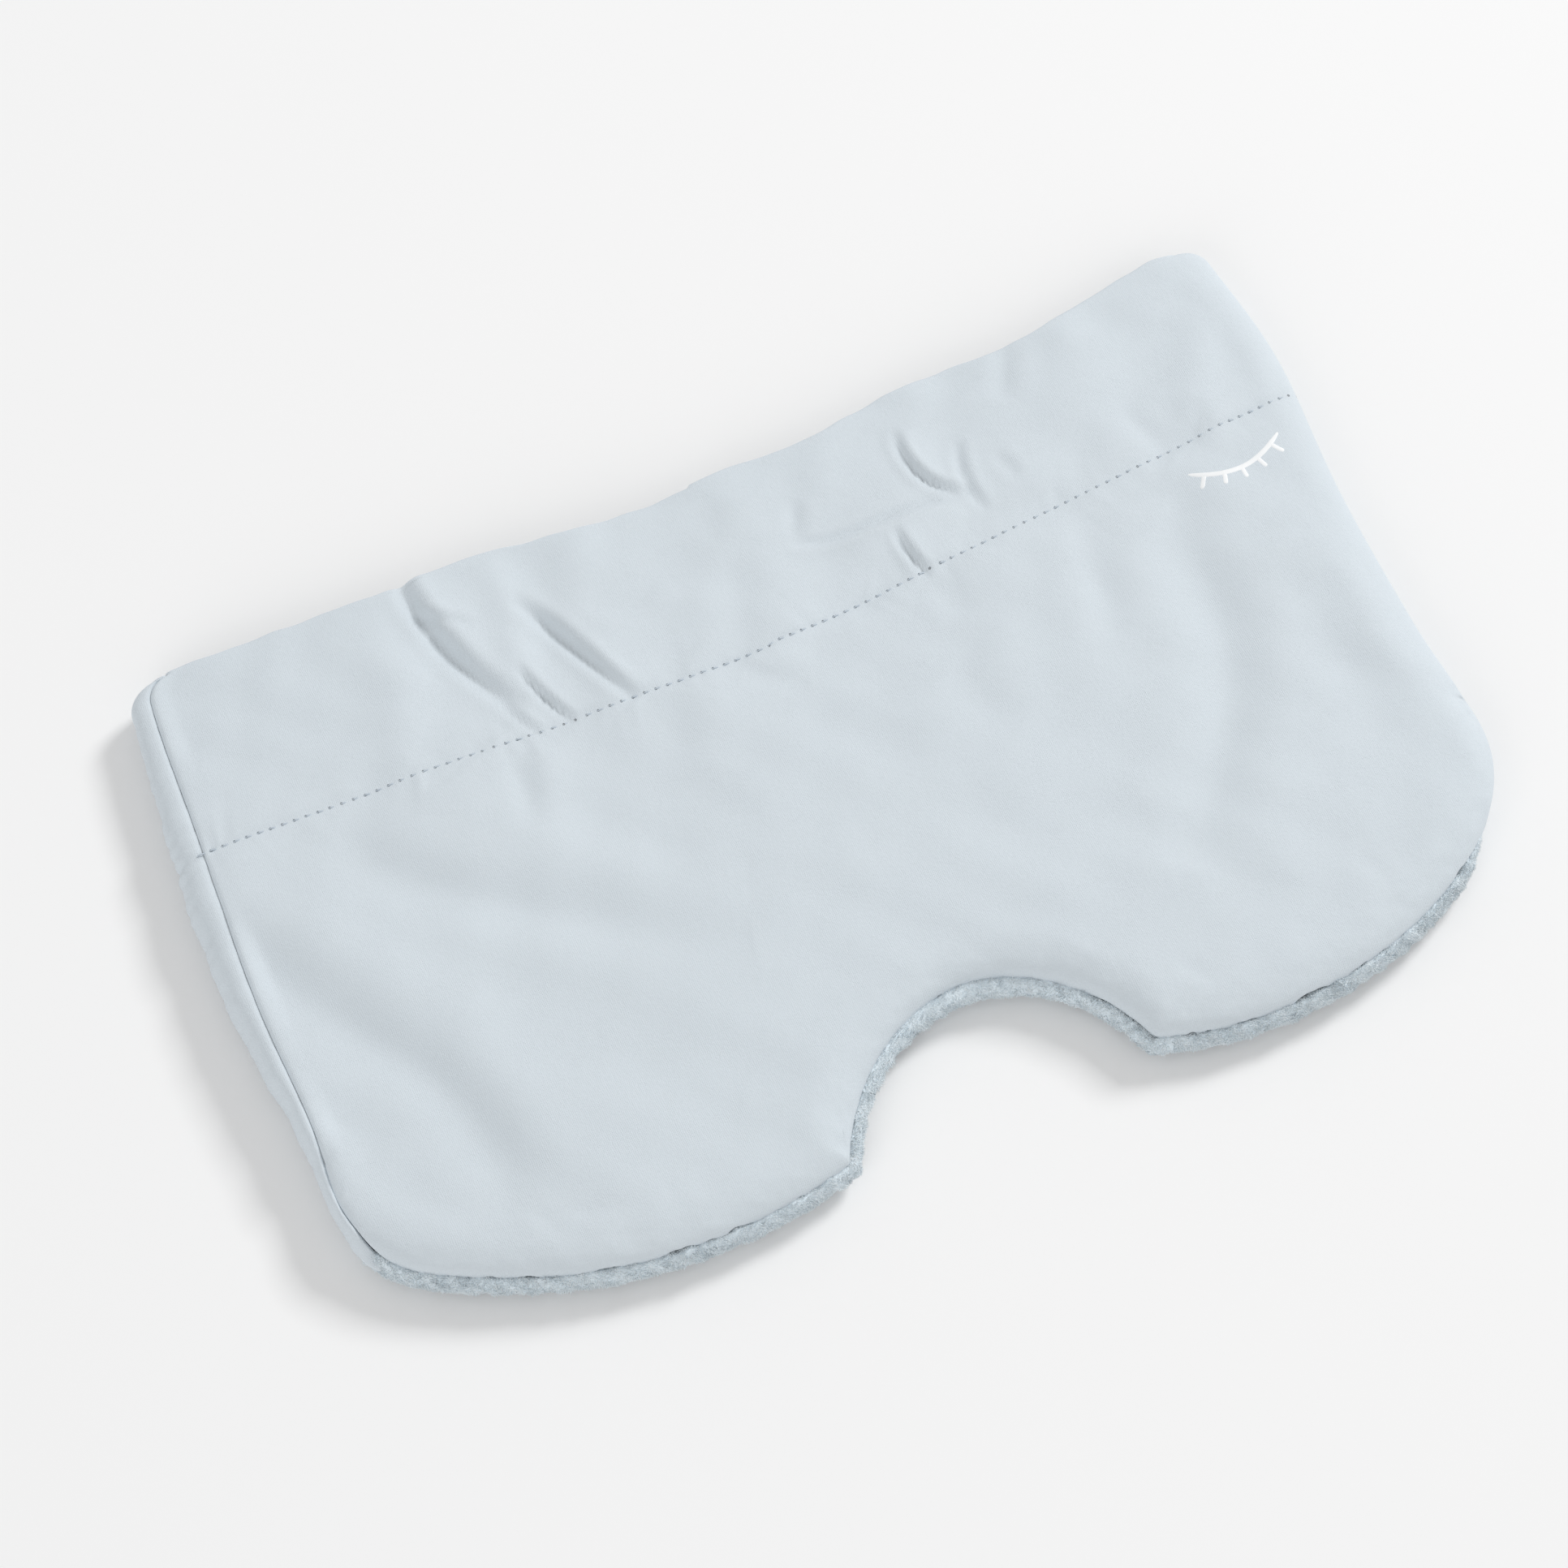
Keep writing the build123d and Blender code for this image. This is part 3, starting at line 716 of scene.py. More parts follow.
# ---- threads --------------------------------------------------------------------------------------------
def threads(name, holes, ups, material, radius, rise, body="cover"):
    """A bent capsule from each hole to the next: it rises in the middle and thins into the cloth."""
    rings, sides = 7, 6
    starts, ends = holes[:-1], holes[1:]
    along = ends - starts
    starts, along = starts + 0.1 * along, 0.8 * along
    up = ups[:-1]
    s = np.linspace(0, 1, rings)
    thin = np.sqrt(np.clip(1 - (2 * s - 1) ** 4, 0.05, 1))
    angle = 2 * np.pi * np.arange(sides) / sides
    side = np.cross(along, up)
    side /= np.linalg.norm(side, axis=1, keepdims=True)
    lift = rise * (1 - (2 * s - 1) ** 2) - 0.5 * radius
    centre = starts[:, None] + along[:, None] * s[None, :, None] + up[:, None] * lift[None, :, None]
    ring = np.cos(angle)[None, None, :, None] * side[:, None, None]
    ring = ring + np.sin(angle)[None, None, :, None] * up[:, None, None]
    ring = ring * (radius * thin)[None, :, None, None]
    count = len(starts)
    sleeve = (centre[:, :, None] + ring).reshape(count, rings * sides, 3)
    points = np.concatenate([sleeve, centre[:, [0, -1]]], axis=1)
    quads = grid_faces(rings, sides, around=True, flip=True)
    near = np.arange(sides)
    far = (rings - 1) * sides + near
    first = np.stack([np.full(sides, rings * sides), near, np.roll(near, -1)], axis=1)
    last = np.stack([np.full(sides, rings * sides + 1), np.roll(far, -1), far], axis=1)
    step = (rings * sides + 2) * np.arange(count)[:, None, None]
    caps = np.concatenate([first, last])
    faces = [(quads[None] + step).reshape(-1, 4), (caps[None] + step).reshape(-1, 3)]
    return new_piece(name, points, faces, body, material)


def along_path(path, pitch):
    """Places along a path, one pitch apart."""
    walked = np.concatenate([[0.0], np.cumsum(np.linalg.norm(np.diff(path, axis=0), axis=1))])
    at = np.arange(0.0, walked[-1], pitch)
    return np.stack([np.interp(at, walked, path[:, k]) for k in range(3)], axis=1)


def pattern_at(x, y):
    """The pattern place that lies at x and y, found by a few corrections."""
    p, q = x.copy(), y.copy()
    for _ in range(12):
        at_x, at_y = lie(p, q)
        p, q = p + (x - at_x), q + (y - at_y)
    return p, q


def height_at(x, y):
    """Height of the front above x and y."""
    p, q = pattern_at(x, y)
    return front_height(p, q, x, y)


def upward(places, sign=1.0):
    """The direction up, or down where sign is -1, for each place."""
    return np.tile([0.0, 0.0, sign], (len(places), 1))


def front_hem_threads(material):
    """The hem's row of stitches on the front: each dives into a needle hole at both ends."""
    first = -(STITCH_COUNT * STITCH_PITCH) / 2 + 1.6
    x = first + STITCH_PITCH * np.arange(STITCH_COUNT + 1)
    y = stitch_line(x) + 0.05 * swell(x, 0 * x, 5.0, 62)
    holes = np.stack([x, y, height_at(x, y) - 0.12], axis=1)
    return threads("front_hem_thread", holes, upward(holes), material, radius=0.15, rise=0.30)


def back_hem_threads(material):
    """The same row on the plush back, half sunk in the pile."""
    x = np.arange(-118.0, 118.0, STITCH_PITCH)
    holes = np.stack([x, stitch_line(x), 0.0 * x + 0.62], axis=1)
    return threads("back_hem_thread", holes, upward(holes, -1.0), material, radius=0.18, rise=0.25)


def left_seam_threads(material):
    """Stitches that show faintly in the ditch between the front and the left strip."""
    q = np.linspace(STRIP_LOW + 4, MOUTH - 1.5, 400)
    x, y, z = left_seam(q)
    holes = along_path(np.stack([x - 0.05, y, z - 0.85], axis=1), 2.5)
    return threads("left_seam_thread", holes, upward(holes), material, radius=0.13, rise=0.15)


def right_seam_threads(material):
    """Stitches of the right seam, under the front's turned edge."""
    q = np.linspace(-44, MOUTH - 2, 400)
    x, y = lie(side_edge(q), q)
    holes = along_path(np.stack([x - 2.75, y, 0 * x + 3.1], axis=1), 2.5)
    out = np.tile([1.0, 0.0, 0.0], (len(holes), 1))
    return threads("right_seam_thread", holes, out, material, radius=0.13, rise=0.15)


def bottom_path(inset, height, low, high):
    """The line along the lobes and the nose arch, inset from the outline."""
    p = spaced(-(HALF - inset), HALF - inset, 6000, [(-HALF, 6, 0.95), (HALF, 6, 0.95), (0, 34, 0.6)])
    q = lower_edge(p, inset + rim_width(p) - RIM)
    kept = (q < np.where(p < 0, low, high)) | (np.abs(p) < 90)
    x, y = lie(p[kept], q[kept])
    return np.stack([x, y, 0 * x + height], axis=1)


def bottom_seam_threads(material):
    """Stitches deep in the ditch between the front and the plush rim."""
    holes = along_path(bottom_path(RIM - 0.05, SEAM_Z - 0.35, STRIP_LOW + 2, -50), 2.5)
    return threads("bottom_seam_thread", holes, upward(holes), material, radius=0.13, rise=0.12)


# ---- print ----------------------------------------------------------------------------------------------
PRINT_X, PRINT_Y = 103.6, 29.6
PRINT_WIDE, PRINT_SAG, LASHES = 22.0, 3.8, 5


def stroke(centre, width):
    """A printed line along points of the front: seven places across, thinned to a point at both ends."""
    across = np.linspace(-1, 1, 7)
    heading = np.gradient(centre, axis=0)
    heading /= np.linalg.norm(heading, axis=1, keepdims=True)
    side = np.stack([-heading[:, 1], heading[:, 0]], axis=1)
    s = np.linspace(-1, 1, len(centre))
    half = 0.5 * width * np.sqrt(np.clip(1 - s ** 6, 0.0, 1))
    flat = centre[:, None] + side[:, None] * (half[:, None] * across[None])[..., None]
    x, y = flat[..., 0], flat[..., 1]
    z = height_at(x, y) + 0.09 * (1 - across[None] ** 6) * (1 - s[:, None] ** 10) - 0.02
    return np.stack([x, y, z], axis=-1)


def printed_motif(material):
    """A closed eyelid and its lashes, printed below the hem, level with the stitches there."""
    s = np.linspace(-1, 1, 61)
    lid = np.stack([PRINT_X + s * PRINT_WIDE / 2, PRINT_Y + 1.6 - PRINT_SAG * (1 - s ** 2)], axis=1)
    strokes = [stroke(lid + np.outer(s, [0, RIGHT_SLOPE * PRINT_WIDE / 2]), 1.15)]
    for s_lash in np.linspace(-0.72, 0.72, LASHES):
        t = np.linspace(0.0, 1.0, 17)[:, None]
        root_y = PRINT_Y + 1.6 - PRINT_SAG * (1 - s_lash ** 2) + RIGHT_SLOPE * s_lash * PRINT_WIDE / 2
        root = np.array([PRINT_X + s_lash * PRINT_WIDE / 2, root_y])
        reach = np.array([0.75 * s_lash, -1.0]) * 2.9
        curl = np.array([0.5 * np.sign(s_lash) * abs(s_lash), 0.25])
        strokes.append(stroke(root + reach * t + curl * t ** 2, 1.0))
    points, faces, start = [], [], 0
    for grid in strokes:
        points.append(grid.reshape(-1, 3))
        faces.append(grid_faces(*grid.shape[:2], flip=True) + start)
        start += grid.shape[0] * grid.shape[1]
    return new_piece("printed_eyelid", np.concatenate(points), faces, "cover", material)


# ---- insert ---------------------------------------------------------------------------------------------
INSERT_INSET, INSERT_TOP = 4.2, 56.0
CHANNEL_X = 40.0
PAD_MIDDLE, PAD_HALF = 5.2, 2.75        # the insert's middle height, and half its thickness
PLY_ROWS, PLY_COLUMNS = 74, 170
PLY_APART = 0.3                         # half the least distance between the plies inside the rim
SEED_GAP = 0.5                          # from each ply to the seeds
SEAM_IN = 1.6                           # from the pouch's rim to its stitches, and from a seam to the seeds
SEAM_TOP = PAD_MIDDLE + 0.42            # height of the insert's stitches
INSERT_PITCH = 2.6


def pad_places(low_p, high_p, inset, top, columns, rows):
    """Places of a pad's ply: columns between two values of p, rows from the lower edge to the top."""
    p = np.linspace(low_p, high_p, columns)[None, :] + 0.0 * np.zeros((rows, 1))
    start = lower_edge(p, inset)
    q = start + (1 - np.cos(np.pi * np.linspace(0, 1, rows)))[:, None] / 2 * (top - start)
    return p, q


def two_plies(upper, lower):
    """Points and faces of two grids of places that share their rim."""
    rows, columns = upper.shape[:2]
    numbers = np.arange(rows * columns).reshape(rows, columns)
    under = numbers + rows * columns
    rim = np.ones((rows, columns), bool)
    rim[1:-1, 1:-1] = False
    under[rim] = numbers[rim]
    quads = [np.stack([n[:-1, :-1], n[:-1, 1:], n[1:, 1:], n[1:, :-1]], axis=-1).reshape(-1, 4)
             for n in (numbers, under)]
    faces = np.concatenate([quads[0], quads[1][:, ::-1]])
    used, faces = np.unique(faces, return_inverse=True)
    points = np.concatenate([upper.reshape(-1, 3), lower.reshape(-1, 3)])[used]
    return points, faces.reshape(-1, 4)


def insert_pouch(material):
    """The insert's pouch: two plies sewn round the rim and along two channels, filled by a simulation.

    The plies start nearly flat. Pressure fills them while the seams stay put, and cloth a little larger
    than the seams' outline makes the puckers. The movement is held within the pouch's thickness.
    """
    edge = HALF - INSERT_INSET
    p, q = pad_places(-edge, edge, INSERT_INSET, INSERT_TOP, PLY_COLUMNS, PLY_ROWS)
    from_rim = np.minimum(np.minimum(from_bottom(p, q) - INSERT_INSET, edge - np.abs(p)), INSERT_TOP - q)
    from_seam = np.minimum(from_rim, np.abs(np.abs(p) - CHANNEL_X))
    start_half = np.where(from_rim < 1e-6, 0.0, 0.25 + 0.9 * rolled(from_seam, 18.0))
    x, y = lie(p, q)
    upper = np.stack([x, y, PAD_MIDDLE + start_half], axis=-1)
    lower = np.stack([x, y, PAD_MIDDLE - start_half], axis=-1)
    points, faces = two_plies(upper, lower)
    piece = new_piece("insert_pouch", points, faces, "insert", material)
    sewn = piece.vertex_groups.new(name="seams")
    at_p, at_q = pattern_at(points[:, 0], points[:, 1])
    rim_near = np.minimum(from_bottom(at_p, at_q) - INSERT_INSET, edge - np.abs(at_p))
    rim_near = np.minimum(rim_near, INSERT_TOP - at_q)
    held = (rim_near < 1.0) | (np.abs(np.abs(at_p) - CHANNEL_X) < 1.0)
    sewn.add(np.flatnonzero(held).tolist(), 1.0, "ADD")
    fill_by_pressure(piece)
    settle_pad(piece)
    smooth = piece.modifiers.new("finer", "SUBSURF")
    smooth.levels = smooth.render_levels = 1
    return piece


def fill_by_pressure(piece, frames=20):
    """Runs the cloth simulation on a piece and keeps its last shape."""
    cloth = piece.modifiers.new("filling", "CLOTH")
    cloth.settings.quality = 5
    cloth.settings.mass = 0.15
    cloth.settings.tension_stiffness = 12
    cloth.settings.compression_stiffness = 12
    cloth.settings.shear_stiffness = 4
    cloth.settings.bending_stiffness = 0.3
    cloth.settings.use_pressure = True
    cloth.settings.uniform_pressure_force = 4.0
    cloth.settings.shrink_min = -0.035
    cloth.settings.vertex_group_mass = "seams"
    cloth.settings.effector_weights.gravity = 0.0
    cloth.point_cache.frame_start = 1
    cloth.point_cache.frame_end = frames
    scene = bpy.context.scene
    for number in range(1, frames + 1):
        scene.frame_set(number)
    shaped = piece.evaluated_get(bpy.context.evaluated_depsgraph_get())
    places = np.zeros(len(piece.data.vertices) * 3)
    shaped.data.vertices.foreach_get("co", places)
    piece.modifiers.remove(cloth)
    piece.data.vertices.foreach_set("co", places)
    scene.frame_set(1)


def filled_plies(pouch):
    """The pouch's upper and lower ply, as grids of places."""
    places = np.zeros(len(pouch.data.vertices) * 3)
    pouch.data.vertices.foreach_get("co", places)
    places = places.reshape(-1, 3) / MM
    count = PLY_ROWS * PLY_COLUMNS
    upper = places[:count].reshape(PLY_ROWS, PLY_COLUMNS, 3)
    lower = upper.copy()
    lower[1:-1, 1:-1] = places[count:].reshape(PLY_ROWS - 2, PLY_COLUMNS - 2, 3)
    return upper, lower


def settle_pad(piece):
    """Holds the filled pad within its thickness, softly, and keeps its upper ply over its lower one."""
    upper, lower = filled_plies(piece)
    for ply in (upper, lower):
        ply[..., 2] = PAD_MIDDLE + PAD_HALF * np.tanh((ply[..., 2] - PAD_MIDDLE) / PAD_HALF)
    middle = (upper[..., 2] + lower[..., 2]) / 2
    half = np.maximum((upper[..., 2] - lower[..., 2]) / 2, PLY_APART)
    upper[1:-1, 1:-1, 2] = (middle + half)[1:-1, 1:-1]
    lower[1:-1, 1:-1, 2] = (middle - half)[1:-1, 1:-1]
    places = np.concatenate([upper.reshape(-1, 3), lower[1:-1, 1:-1].reshape(-1, 3)]) * MM
    piece.data.vertices.foreach_set("co", places.ravel())
    piece.data.update()


def finer(grid):
    """The grid with a new row half way between each two."""
    rows = np.empty((2 * len(grid) - 1,) + grid.shape[1:])
    rows[::2] = grid
    rows[1::2] = (grid[1:] + grid[:-1]) / 2
    return rows


def seed_fill(name, pouch, low_p, high_p, material, seed):
    """Loose seeds of one chamber, as one bumpy closed pad just inside the pouch's two plies."""
    columns = np.linspace(-1, 1, PLY_COLUMNS) * (HALF - INSERT_INSET)
    first, last = np.searchsorted(columns, (low_p, high_p))
    upper, lower = [ply[2:-2, first:last] for ply in filled_plies(pouch)]
    middle, reach = (upper + lower) / 2, (upper - lower) / 2
    deep = np.linalg.norm(reach, axis=-1, keepdims=True)
    reach = reach * np.clip(1.0 - SEED_GAP / np.maximum(deep, SEED_GAP), 0.0, 1.0)
    reach[[0, -1]] = 0.0
    reach[:, [0, -1]] = 0.0
    middle, reach = [finer(finer(grid).swapaxes(0, 1)).swapaxes(0, 1) for grid in (middle, reach)]
    bumps = 1.0 - 0.06 * np.abs(swell(middle[..., 0], middle[..., 1], 2.6, seed))
    reach = reach * bumps[..., None]
    points, faces = two_plies(middle + reach, middle - reach)
    return new_piece(name, points, faces, "insert", material)


def insert_threads(name, path, material):
    """A row of the insert's stitches along a path."""
    holes = along_path(path, INSERT_PITCH)
    return threads(name, holes, upward(holes), material, 0.16, 0.2, "insert")


def insert_seam_threads(material):
    """The pouch's rim of stitches, drawn along its outline."""
    inset = INSERT_INSET + SEAM_IN
    side = HALF - inset
    up = np.linspace(CORNER_Y, INSERT_TOP - SEAM_IN, 200)
    across = np.linspace(side, -side, 600)
    edges = [(side + 0 * up, up), (across, 0 * across + INSERT_TOP - SEAM_IN), (-side + 0 * up, up[::-1])]
    path = [bottom_path(inset, SEAM_TOP, 60, 60)]
    for p, q in edges:
        x, y = lie(p, q)
        path.append(np.stack([x, y, 0 * x + SEAM_TOP], axis=1))
    return insert_threads("insert_seam_thread", np.concatenate(path), material)


def channel_threads(name, p_channel, material):
    """One of the two rows of stitches that divide the pouch into three chambers."""
    low = float(lower_edge(np.array([p_channel]), INSERT_INSET + 2.0)[0])
    q = np.linspace(low, INSERT_TOP - 2.0, 300)
    x, y = lie(p_channel + 0 * q, q)
    return insert_threads(name, np.stack([x, y, 0 * x + SEAM_TOP], axis=1), material)


# ---- shader words ---------------------------------------------------------------------------------------
class Value:
    """A number that varies over a surface. Python's operators on it add Math nodes."""

    def __init__(self, recipe, socket):
        self.recipe = recipe
        self.socket = socket

    def math(self, operation, *others):
        """Any operation of the Math node, on this value first."""
        return self.recipe.add("ShaderNodeMath", {"operation": operation}, [self, *others])

    def __add__(self, other):
        return self.math("ADD", other)

    def __sub__(self, other):
        return self.math("SUBTRACT", other)

    def __rsub__(self, other):
        return self.recipe.add("ShaderNodeMath", {"operation": "SUBTRACT"}, [other, self])

    def __mul__(self, other):
        return self.math("MULTIPLY", other)

    def __truediv__(self, other):
        return self.math("DIVIDE", other)

    def __pow__(self, other):
        return self.math("POWER", other)


class Recipe:
    """One material: a Principled shader with constants, and the nodes that feed what varies."""

    def __init__(self, name, **constants):
        self.material = bpy.data.materials.new(name)
        self.material.use_nodes = True
        self.tree = self.material.node_tree
        self.shader = self.tree.nodes["Principled BSDF"]
        for socket, value in constants.items():
            self.shader.inputs[socket.replace("_", " ")].default_value = value

    def add(self, kind, settings=None, inputs=(), output=0):
        """Any node: its settings first, then its inputs by number or name, as links or values."""
        node = self.tree.nodes.new(kind)
        for key, value in (settings or {}).items():
            setattr(node, key, value)
        pairs = inputs.items() if isinstance(inputs, dict) else enumerate(inputs)
        for key, value in pairs:
            if isinstance(value, Value):
                self.tree.links.new(value.socket, node.inputs[key])
            else:
                node.inputs[key].default_value = value
        return Value(self, node.outputs[output])

    def feed(self, socket, value):
        """Links a value to a socket of the shader."""
        self.tree.links.new(value.socket, self.shader.inputs[socket])

    def places(self):
        """Object coordinates in millimetres."""
        where = self.add("ShaderNodeTexCoord", output="Object")
        return self.add("ShaderNodeVectorMath", {"operation": "SCALE"}, {0: where, "Scale": 1.0 / MM})

    def parts(self, vector, count):
        """The first few numbers of a vector, a map or a colour."""
        return [self.add("ShaderNodeSeparateXYZ", None, [vector], output=k) for k in range(count)]

    def noise(self, where, size, detail=2.0, roughness=0.5):
        """Noise from 0 to 1 whose lumps are about size millimetres."""
        return self.add("ShaderNodeTexNoise", None,
                        {"Vector": where, "Scale": 1.0 / size, "Detail": detail, "Roughness": roughness})

    def blend(self, share, low, high):
        """A colour from low to high."""
        return self.add("ShaderNodeMix", {"data_type": "RGBA"}, {0: share, 6: low, 7: high}, output=2)

    def relief(self, height, distance, strength=1.0):
        """Feeds a height in millimetres to the shader's normal."""
        self.feed("Normal", self.add("ShaderNodeBump", None,
                                     {"Strength": strength, "Distance": distance, "Height": height}))

    def soft_step(self, value, low, high):
        """0 below low and 1 above high."""
        return self.add("ShaderNodeMapRange", {"interpolation_type": "SMOOTHSTEP"},
                        {"Value": value, "From Min": low, "From Max": high})


def colour(red, green, blue, factor=1.0):
    """A colour for a socket, made darker or lighter by the factor."""
    return (red * factor, green * factor, blue * factor, 1.0)


CLOTH = (0.672, 0.735, 0.782)
PLUSH = (0.700, 0.780, 0.830)
PLUSH_SHEEN = colour(0.9, 0.95, 1.0)
THREAD = 0.36                           # thread pitch of the woven cloth


def woven(recipe, thread):
    """Plain weave from 0 to 1: warp and weft bulge in turn, with uneven threads."""
    where = recipe.places()
    x, y = recipe.parts(where, 2)
    wander = recipe.noise(where, 2.0, 3.0) * 0.7
    across = ((x + wander) * (2 * np.pi / thread)).math("SINE")
    up = ((y + wander) * (2 * np.pi / thread)).math("SINE")
    return where, across * up * 0.28 + across * 0.22 + 0.5


def smooth_cloth_material(name, tint, with_hem):
    """Fine woven cloth: slight weave, faint uneven dye, needle holes along the hem's stitches with painted
    shade in the holes.
    """
    recipe = Recipe(name, Roughness=0.72, Sheen_Weight=0.18, Sheen_Roughness=0.45,
                    Sheen_Tint=colour(0.92, 0.96, 1.0))
    where, weave = woven(recipe, THREAD)
    slub = recipe.noise(where, 0.5, 4.0, 0.65)
    cloud = recipe.noise(where, 26.0, 3.0)
    worn = recipe.noise(where, 5.0, 3.0)
    weave = weave * (worn * 1.4 + 0.1)
    share = weave * 0.32 + slub * 0.6 + cloud * 0.4 - 0.15
    shade = recipe.blend(share, colour(*tint, 0.93), colour(*tint, 1.06))
    height = weave * 0.5 + slub * 0.8
    if with_hem:
        along, off = recipe.parts(recipe.add("ShaderNodeUVMap", {"uv_map": "hem"}), 2)
        phase = (along / STITCH_PITCH + 0.5).math("FRACT") - 0.5
        reach = ((phase * STITCH_PITCH) ** 2.0 + off ** 2.0) ** 0.5
        # the needle holes are darkened in colour: painted shade in the holes, over the real dent fed to the
        # relief
        painted_hole_shade = 1.0 - recipe.soft_step(reach, 0.10, 0.33)
        shade = recipe.blend(painted_hole_shade, shade, colour(*tint, 0.5))
        height = height - painted_hole_shade * 3.0
    recipe.feed("Base Color", shade)
    recipe.relief(height, 0.00012, 1.0)
    return recipe.material


def plush_material(name, tint):
    """Short plush seen as a surface, in soft clumps: paler on the raised clumps and darker in the hollows
    between them, which is painted shade.
    """
    recipe = Recipe(name, Roughness=0.95, Sheen_Weight=0.4, Sheen_Roughness=0.6, Sheen_Tint=PLUSH_SHEEN)
    where = recipe.places()
    clump = recipe.noise(where, 1.6, 3.0, 0.6)
    fine = recipe.noise(where, 0.35, 2.0, 0.6)
    # the colour follows the clumps' relief: darker hollows between the clumps are painted shade
    share = recipe.soft_step(clump * 0.7 + fine * 0.5, 0.35, 0.8)
    recipe.feed("Base Color", recipe.blend(share, colour(*tint, 1.0), colour(*tint, 1.22)))
    recipe.relief(clump + fine, 0.0004, 0.8)
    return recipe.material


def pile_material(name, tint):
    """Single tufts of the plush: roots darkened as painted shade among the pile, paler tips, and each tuft a
    little different in tone.
    """
    recipe = Recipe(name, Roughness=0.85, Sheen_Weight=0.8, Sheen_Roughness=0.5, Sheen_Tint=PLUSH_SHEEN)
    own, up = recipe.parts(recipe.add("ShaderNodeUVMap", {"uv_map": "pile"}), 2)
    # darker towards each tuft's root is painted shade among the pile; the tuft's own number adds random tone
    recipe.feed("Base Color", recipe.blend(up * 0.8 + own * 0.2, colour(*tint, 0.97), colour(*tint, 1.04)))
    return recipe.material


def thread_material(name, tint):
    """Twisted thread: fine slanting plies."""
    recipe = Recipe(name, Roughness=0.6, Sheen_Weight=0.2)
    x, y, z = recipe.parts(recipe.places(), 3)
    ply = ((x * 1.0 + y * 0.6 + z * 1.4) * 24.0).math("SINE") * 0.5 + 0.5
    recipe.feed("Base Color", recipe.blend(ply, colour(*tint, 0.88), colour(*tint, 1.05)))
    recipe.relief(ply, 0.00004, 0.5)
    return recipe.material


def print_material():
    """White textile ink: smooth, with the cloth's threads just felt through it."""
    recipe = Recipe("white_print", Roughness=0.5)
    where, weave = woven(recipe, THREAD)
    wear = recipe.noise(where, 1.2, 3.0)
    recipe.feed("Base Color", recipe.blend(wear, colour(0.86, 0.88, 0.89), colour(0.93, 0.94, 0.95)))
    recipe.relief(weave, 0.00003, 0.5)
    return recipe.material


def insert_cloth_material():
    """Unbleached cotton: a coarser weave with flecks and slubs."""
    recipe = Recipe("unbleached_cotton", Roughness=0.85, Sheen_Weight=0.25)
    where, weave = woven(recipe, 0.7)
    slub = recipe.noise(where, 1.4, 4.0)
    fleck = recipe.soft_step(recipe.noise(where, 0.9, 2.0), 0.66, 0.74)
    shade = recipe.blend(weave * 0.5 + slub * 0.6, colour(0.70, 0.66, 0.58), colour(0.86, 0.83, 0.76))
    recipe.feed("Base Color", recipe.blend(fleck * 0.35, shade, colour(0.45, 0.36, 0.25)))
    recipe.relief(weave + slub, 0.0001, 0.7)
    return recipe.material


def seed_material():
    """Flax seed: brown, glossy, each seed a cell of its own shade."""
    recipe = Recipe("flax_seed", Roughness=0.35)
    settings = {"Vector": recipe.places(), "Scale": 0.45}
    cells = recipe.add("ShaderNodeTexVoronoi", None, settings, output="Distance")
    shade = recipe.add("ShaderNodeTexVoronoi", None, settings, output="Color")
    own = recipe.parts(shade, 1)[0]
    recipe.feed("Base Color", recipe.blend(own, colour(0.20, 0.09, 0.035), colour(0.42, 0.23, 0.10)))
    recipe.relief(1.0 - cells, 0.0008, 0.9)
    return recipe.material


def floor_material():
    """Pale matte floor."""
    pale = colour(0.93, 0.93, 0.93)
    return Recipe("pale_floor", Roughness=0.9, Base_Color=pale, Specular_IOR_Level=0.1).material


# ---- pieces ---------------------------------------------------------------------------------------------
front_material = smooth_cloth_material("smooth_front_cloth", CLOTH, True)
strip_material = smooth_cloth_material("smooth_strip_cloth", CLOTH, False)
plush = plush_material("plush_cloth", PLUSH)
tuft_material = pile_material("plush_tufts", (0.875, 0.945, 0.98))
thread = thread_material("cover_thread", (0.55, 0.62, 0.69))
cotton = insert_cloth_material()
cotton_thread = thread_material("insert_thread", (0.84, 0.81, 0.74))
seeds = seed_material()

pouch = insert_pouch(cotton)
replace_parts(pouch, "insert_front", "insert_back")
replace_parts(insert_seam_threads(cotton_thread), "insert_seam_stitching")
for name, p_channel in [("left", -CHANNEL_X), ("right", CHANNEL_X)]:
    channel = channel_threads("channel_thread_" + name, p_channel, cotton_thread)
    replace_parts(channel, "insert_channel_stitching")
side_p = HALF - INSERT_INSET - SEAM_IN
for name, low_p, high_p, seed in [
    ("left", -side_p, -CHANNEL_X - SEAM_IN, 71),
    ("right", CHANNEL_X + SEAM_IN, side_p, 73),
    ("centre", -CHANNEL_X + SEAM_IN, CHANNEL_X - SEAM_IN, 75),
]:
    fill = seed_fill("seeds_" + name, pouch, low_p, high_p, seeds, seed)
    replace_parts(fill, "fill_" + name)

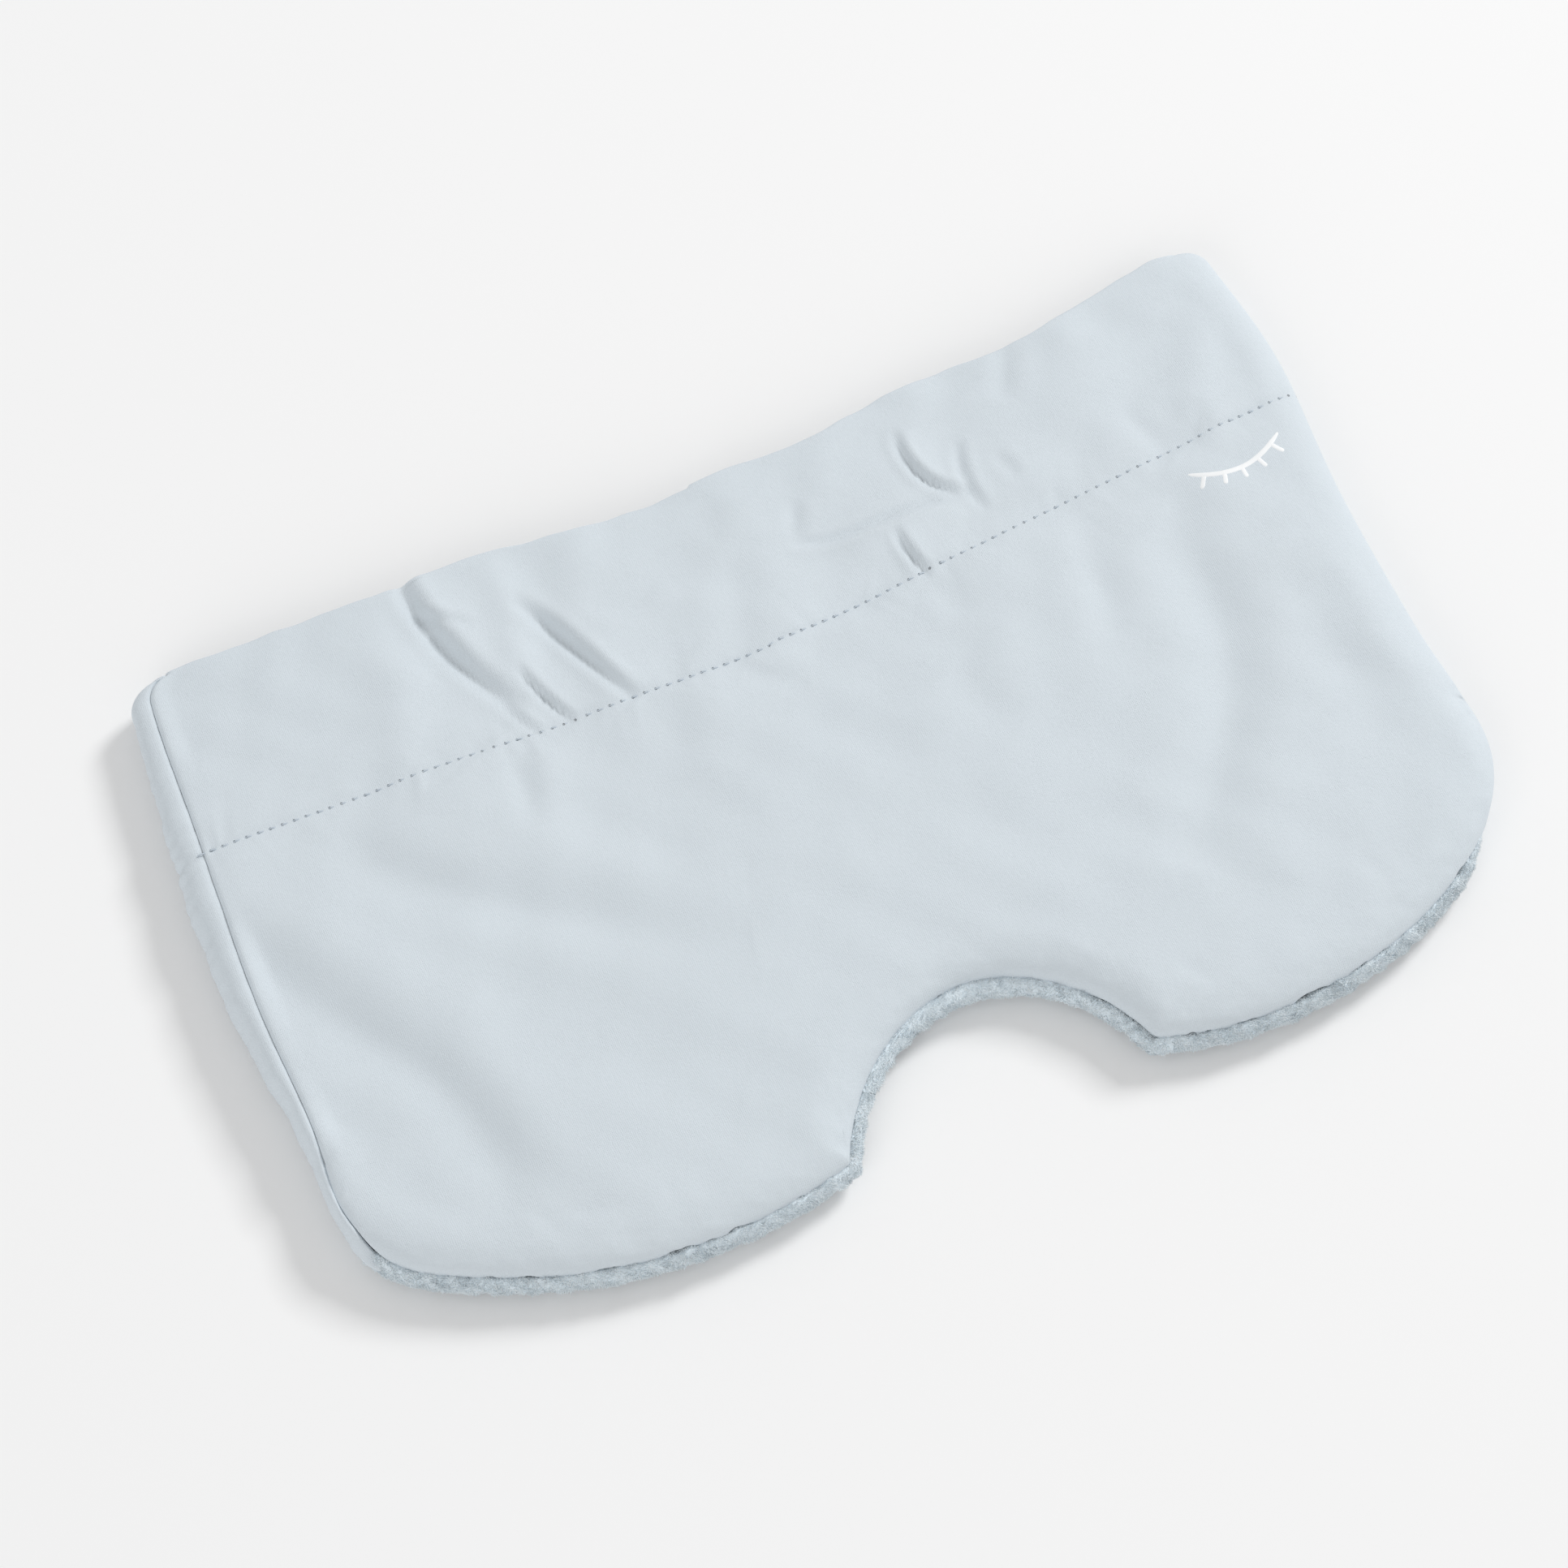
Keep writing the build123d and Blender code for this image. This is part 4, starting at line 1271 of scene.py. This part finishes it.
front = front_cloth(front_material)
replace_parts(front, "front_panel")
back = back_cloth(plush)
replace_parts(back, "back_panel")
piles = [rim_pile("rim_pile_left", 0.0, NOSE_FROM, tuft_material, 41, SIDE_TUFTS),
         rim_pile("rim_pile_nose", NOSE_FROM, NOSE_TO, tuft_material, 43, NOSE_TUFTS),
         rim_pile("rim_pile_right", NOSE_TO, 1.0, tuft_material, 47, SIDE_TUFTS)]
left = left_strip(strip_material)
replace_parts(left, "left_gusset")
right = right_strip(strip_material)
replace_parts(right, "right_gusset")
front_thread = front_hem_threads(thread)
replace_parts(front_thread, "front_hem_stitching")
back_thread = back_hem_threads(thread)
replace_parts(back_thread, "back_hem_stitching")
left_thread = left_seam_threads(thread)
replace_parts(left_thread, "left_seam_stitching")
right_thread = right_seam_threads(thread)
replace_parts(right_thread, "right_seam_stitching")
bottom_thread = bottom_seam_threads(thread)
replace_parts(bottom_thread, "bottom_seam_stitching")
motif = printed_motif(print_material())
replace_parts(motif, "printed_motif")

# ---- floor, light and camera ----------------------------------------------------------------------------
bpy.ops.mesh.primitive_plane_add(size=40.0, location=(0, 0, 0))
floor = bpy.context.object
floor.name = "floor"
floor.data.materials.append(floor_material())


def look_back(thing, heading):
    """Turns a light or the camera to look back along its heading from the pillow, and links it."""
    thing.rotation_mode = "QUATERNION"
    thing.rotation_quaternion = Vector(-heading).to_track_quat("-Z", "Y")
    bpy.context.scene.collection.objects.link(thing)


def soft_light(name, toward, distance, size, power):
    """Square soft light that shines on the pillow from a direction."""
    data = bpy.data.lights.new(name, "AREA")
    data.shape = "SQUARE"
    data.size = size
    data.energy = power
    lamp = bpy.data.objects.new(name, data)
    heading = np.array(toward, float)
    heading /= np.linalg.norm(heading)
    lamp.location = heading * distance
    look_back(lamp, heading)


soft_light("key_light", (1.2, 0.48, 0.95), 3.2, 0.8, 54.0)
soft_light("fill_light", (-0.9, -0.7, 0.6), 3.0, 2.0, 19.0)

world = bpy.data.worlds.new("studio")
world.use_nodes = True
world.node_tree.nodes["Background"].inputs["Color"].default_value = (1.0, 1.0, 1.0, 1.0)
world.node_tree.nodes["Background"].inputs["Strength"].default_value = 0.58
bpy.context.scene.world = world
bpy.context.scene.view_settings.view_transform = "Standard"

AZIMUTH, ELEVATION = np.radians(-24.4), np.radians(65.6)
AIM = np.array([-8.7, 3.9, 7.0]) * MM
CAMERA_AWAY = 0.716
LENS, SENSOR = 83.85, 36.0
camera_data = bpy.data.cameras.new("camera")
camera_data.sensor_width = SENSOR
camera_data.lens = LENS
camera = bpy.data.objects.new("camera", camera_data)
flat_away = np.array([np.sin(AZIMUTH), -np.cos(AZIMUTH)]) * np.cos(ELEVATION)
away = np.array([*flat_away, np.sin(ELEVATION)])
camera.location = AIM + away * CAMERA_AWAY
look_back(camera, away)
bpy.context.scene.camera = camera
